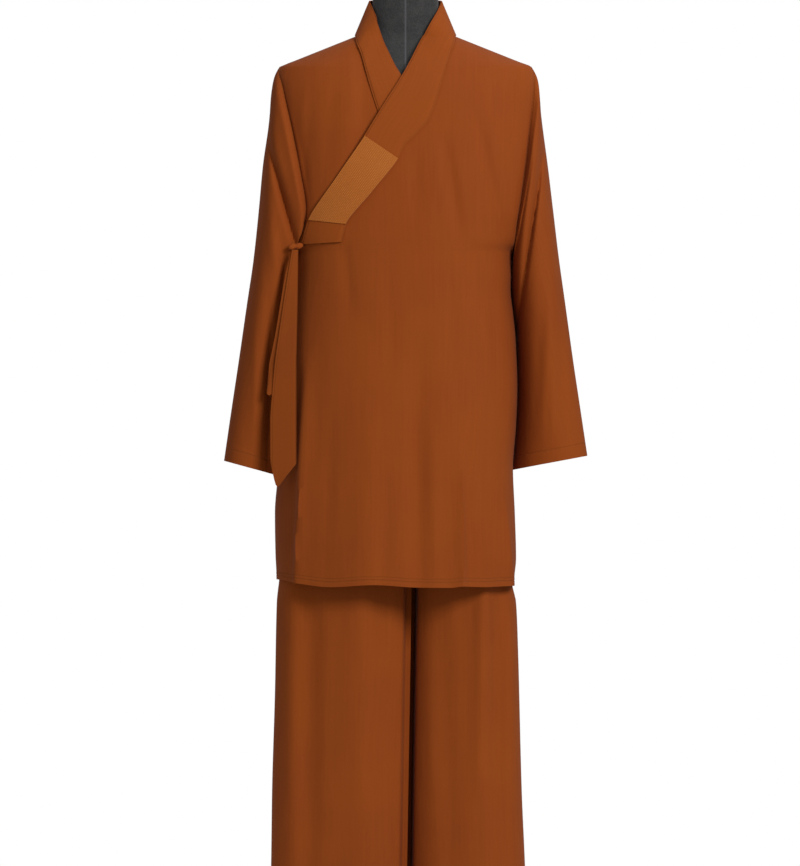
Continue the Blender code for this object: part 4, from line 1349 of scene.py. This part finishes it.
def roundCorner(centreR, centreZ, radius, start, end, count=5):
    turns = [math.radians(start + (end - start) * k / count) for k in range(count + 1)]
    return [(centreR + radius * math.cos(a), centreZ + radius * math.sin(a)) for a in turns]


brushedMetal = {"bright": (0.36, 0.36, 0.37), "dull": (0.26, 0.26, 0.27), "dust": (0.42, 0.41, 0.39)}


def makeMetalLook():
    look, tree, shader = newLook("brushedMetal", 0.36)
    shader.inputs["Metallic"].default_value = 0.9
    body = bodyPlace(tree)
    place = split(tree, body)
    spun = calc(tree, "SQRT", raised(tree, times(tree, place[0], place[0]), place[1], place[1]))
    lines = join(tree, times(tree, spun, 900), times(tree, place[2], 700))
    brushed = between(tree, grain(tree, lines, 1.0, 3.0), 0.3, 0.7)
    dust = between(tree, grain(tree, body, 26.0, 4.0), 0.5, 0.75)
    colour = tint(tree, (*brushedMetal["bright"], 1), brushed, 0.5, brushedMetal["dull"])
    colour = tint(tree, colour, dust, 0.25, brushedMetal["dust"])
    rough = calc(tree, "MULTIPLY_ADD", dust, 0.2, 0.33)
    finishLook(tree, shader, colour, rough, times(tree, brushed, 0.00003))
    return look


formPiece = makeForm()
dress(formPiece, "dress_form", makeFormLook())
metalLook = makeMetalLook()
stand = {
    "baseR": 200, "baseHigh": 12,
    "poleR": 16, "poleX": 62,
    "poleUp": 0.3, "footR": 30,  # the foot stands a hair clear of the base
    "flangeZ": 891, "flangeR": 34, "topZ": 899.6,  # the flange that carries the form
}
baseR, baseHigh, poleR, footR = stand["baseR"], stand["baseHigh"], stand["poleR"], stand["footR"]
baseProfile = [(0, 0)] + roundCorner(baseR - 2, 2, 2, -90, 0)
baseProfile += roundCorner(baseR - 4, baseHigh - 4, 4, 0, 90) + [(0, baseHigh)]
basePiece = makeTurned("stand_base_disc", baseProfile, 0)
dress(basePiece, "stand_base", metalLook)
poleLow, flangeZ, flangeR = baseHigh + stand["poleUp"], stand["flangeZ"], stand["flangeR"]
poleProfile = [(0, poleLow)] + roundCorner(footR - 1, poleLow + 1, 1, -90, 0)
poleProfile += roundCorner(footR - 4, 20, 4, 0, 90, 6)
poleProfile += [(poleR + 3, 26), (poleR + 0.5, 30), (poleR, 34), (poleR, flangeZ - 11)]
poleProfile += [(poleR + 1, flangeZ - 5), (flangeR - 2, flangeZ), (flangeR, flangeZ + 2)]
poleProfile += [(flangeR, stand["topZ"]), (0, stand["topZ"])]
polePiece = makeTurned("stand_pole_tube", poleProfile, stand["poleX"])
dress(polePiece, "stand_pole", metalLook)
print("form and stand made")


view = {"x": -0.0088, "z": 0.846, "away": 24.0, "frameHigh": 1.3856}
camera = bpy.data.objects.new("camera", bpy.data.cameras.new("camera"))
camera.location = (view["x"], -view["away"], view["z"])
camera.rotation_euler = (math.pi / 2, 0, 0)
camera.data.lens = camera.data.sensor_width * view["away"] / view["frameHigh"]
bpy.context.scene.collection.objects.link(camera)
bpy.context.scene.camera = camera


def addLight(name, place, size, power, aim=(0, 0, 0.85)):
    light = bpy.data.lights.new(name, "AREA")
    light.size = size
    light.energy = power
    made = bpy.data.objects.new(name, light)
    made.location = place
    made.rotation_euler = (Vector(aim) - Vector(place)).to_track_quat("-Z", "Y").to_euler()
    bpy.context.scene.collection.objects.link(made)


# name, place, size, power
lamps = [
    ("keyRight", (1.7, -2.9, 2.5), 1.2, 103), ("fillLeft", (-2.6, -3.0, 1.5), 2.2, 7),
    ("topSoft", (0.4, 0.6, 3.4), 2.0, 22),
]
for lamp in lamps:
    addLight(*lamp)
studio = {
    "ambient": 0.32, "floorRadius": 1.15,
    "floorPale": (0.84, 0.84, 0.83), "floorWhite": (0.87, 0.87, 0.86),
}


def makeWorld():
    # the studio's far walls show white, and light the cloth more softly than they show
    world = bpy.data.worlds.new("studio")
    world.use_nodes = True
    tree = world.node_tree
    seen = tree.nodes.new("ShaderNodeLightPath").outputs["Is Camera Ray"]
    shown = tree.nodes["Background"]
    shown.inputs["Color"].default_value = (1.0, 1.0, 1.0, 1)
    feed(tree, shown.inputs["Strength"], between(tree, seen, 0.0, 1.0, studio["ambient"], 1.0))
    return world


bpy.context.scene.world = makeWorld()
bpy.context.scene.view_settings.view_transform = "Standard"


def makeFloor():
    bm = bmesh.new()
    bmesh.ops.create_circle(bm, cap_ends=True, segments=96, radius=studio["floorRadius"])
    bmesh.ops.translate(bm, vec=(0, 0, -0.0005), verts=bm.verts[:])
    floor = finishMesh("floor", bm)
    look, tree, shader = newLook("paleFloor", 0.9)
    mottled = between(tree, grain(tree, bodyPlace(tree), 3.0, 2.0), 0.3, 0.7)
    colour = tint(tree, (*studio["floorPale"], 1), mottled, 1.0, studio["floorWhite"])
    feed(tree, shader.inputs["Base Color"], colour)
    floor.data.materials.append(look)


makeFloor()
print("stage made")
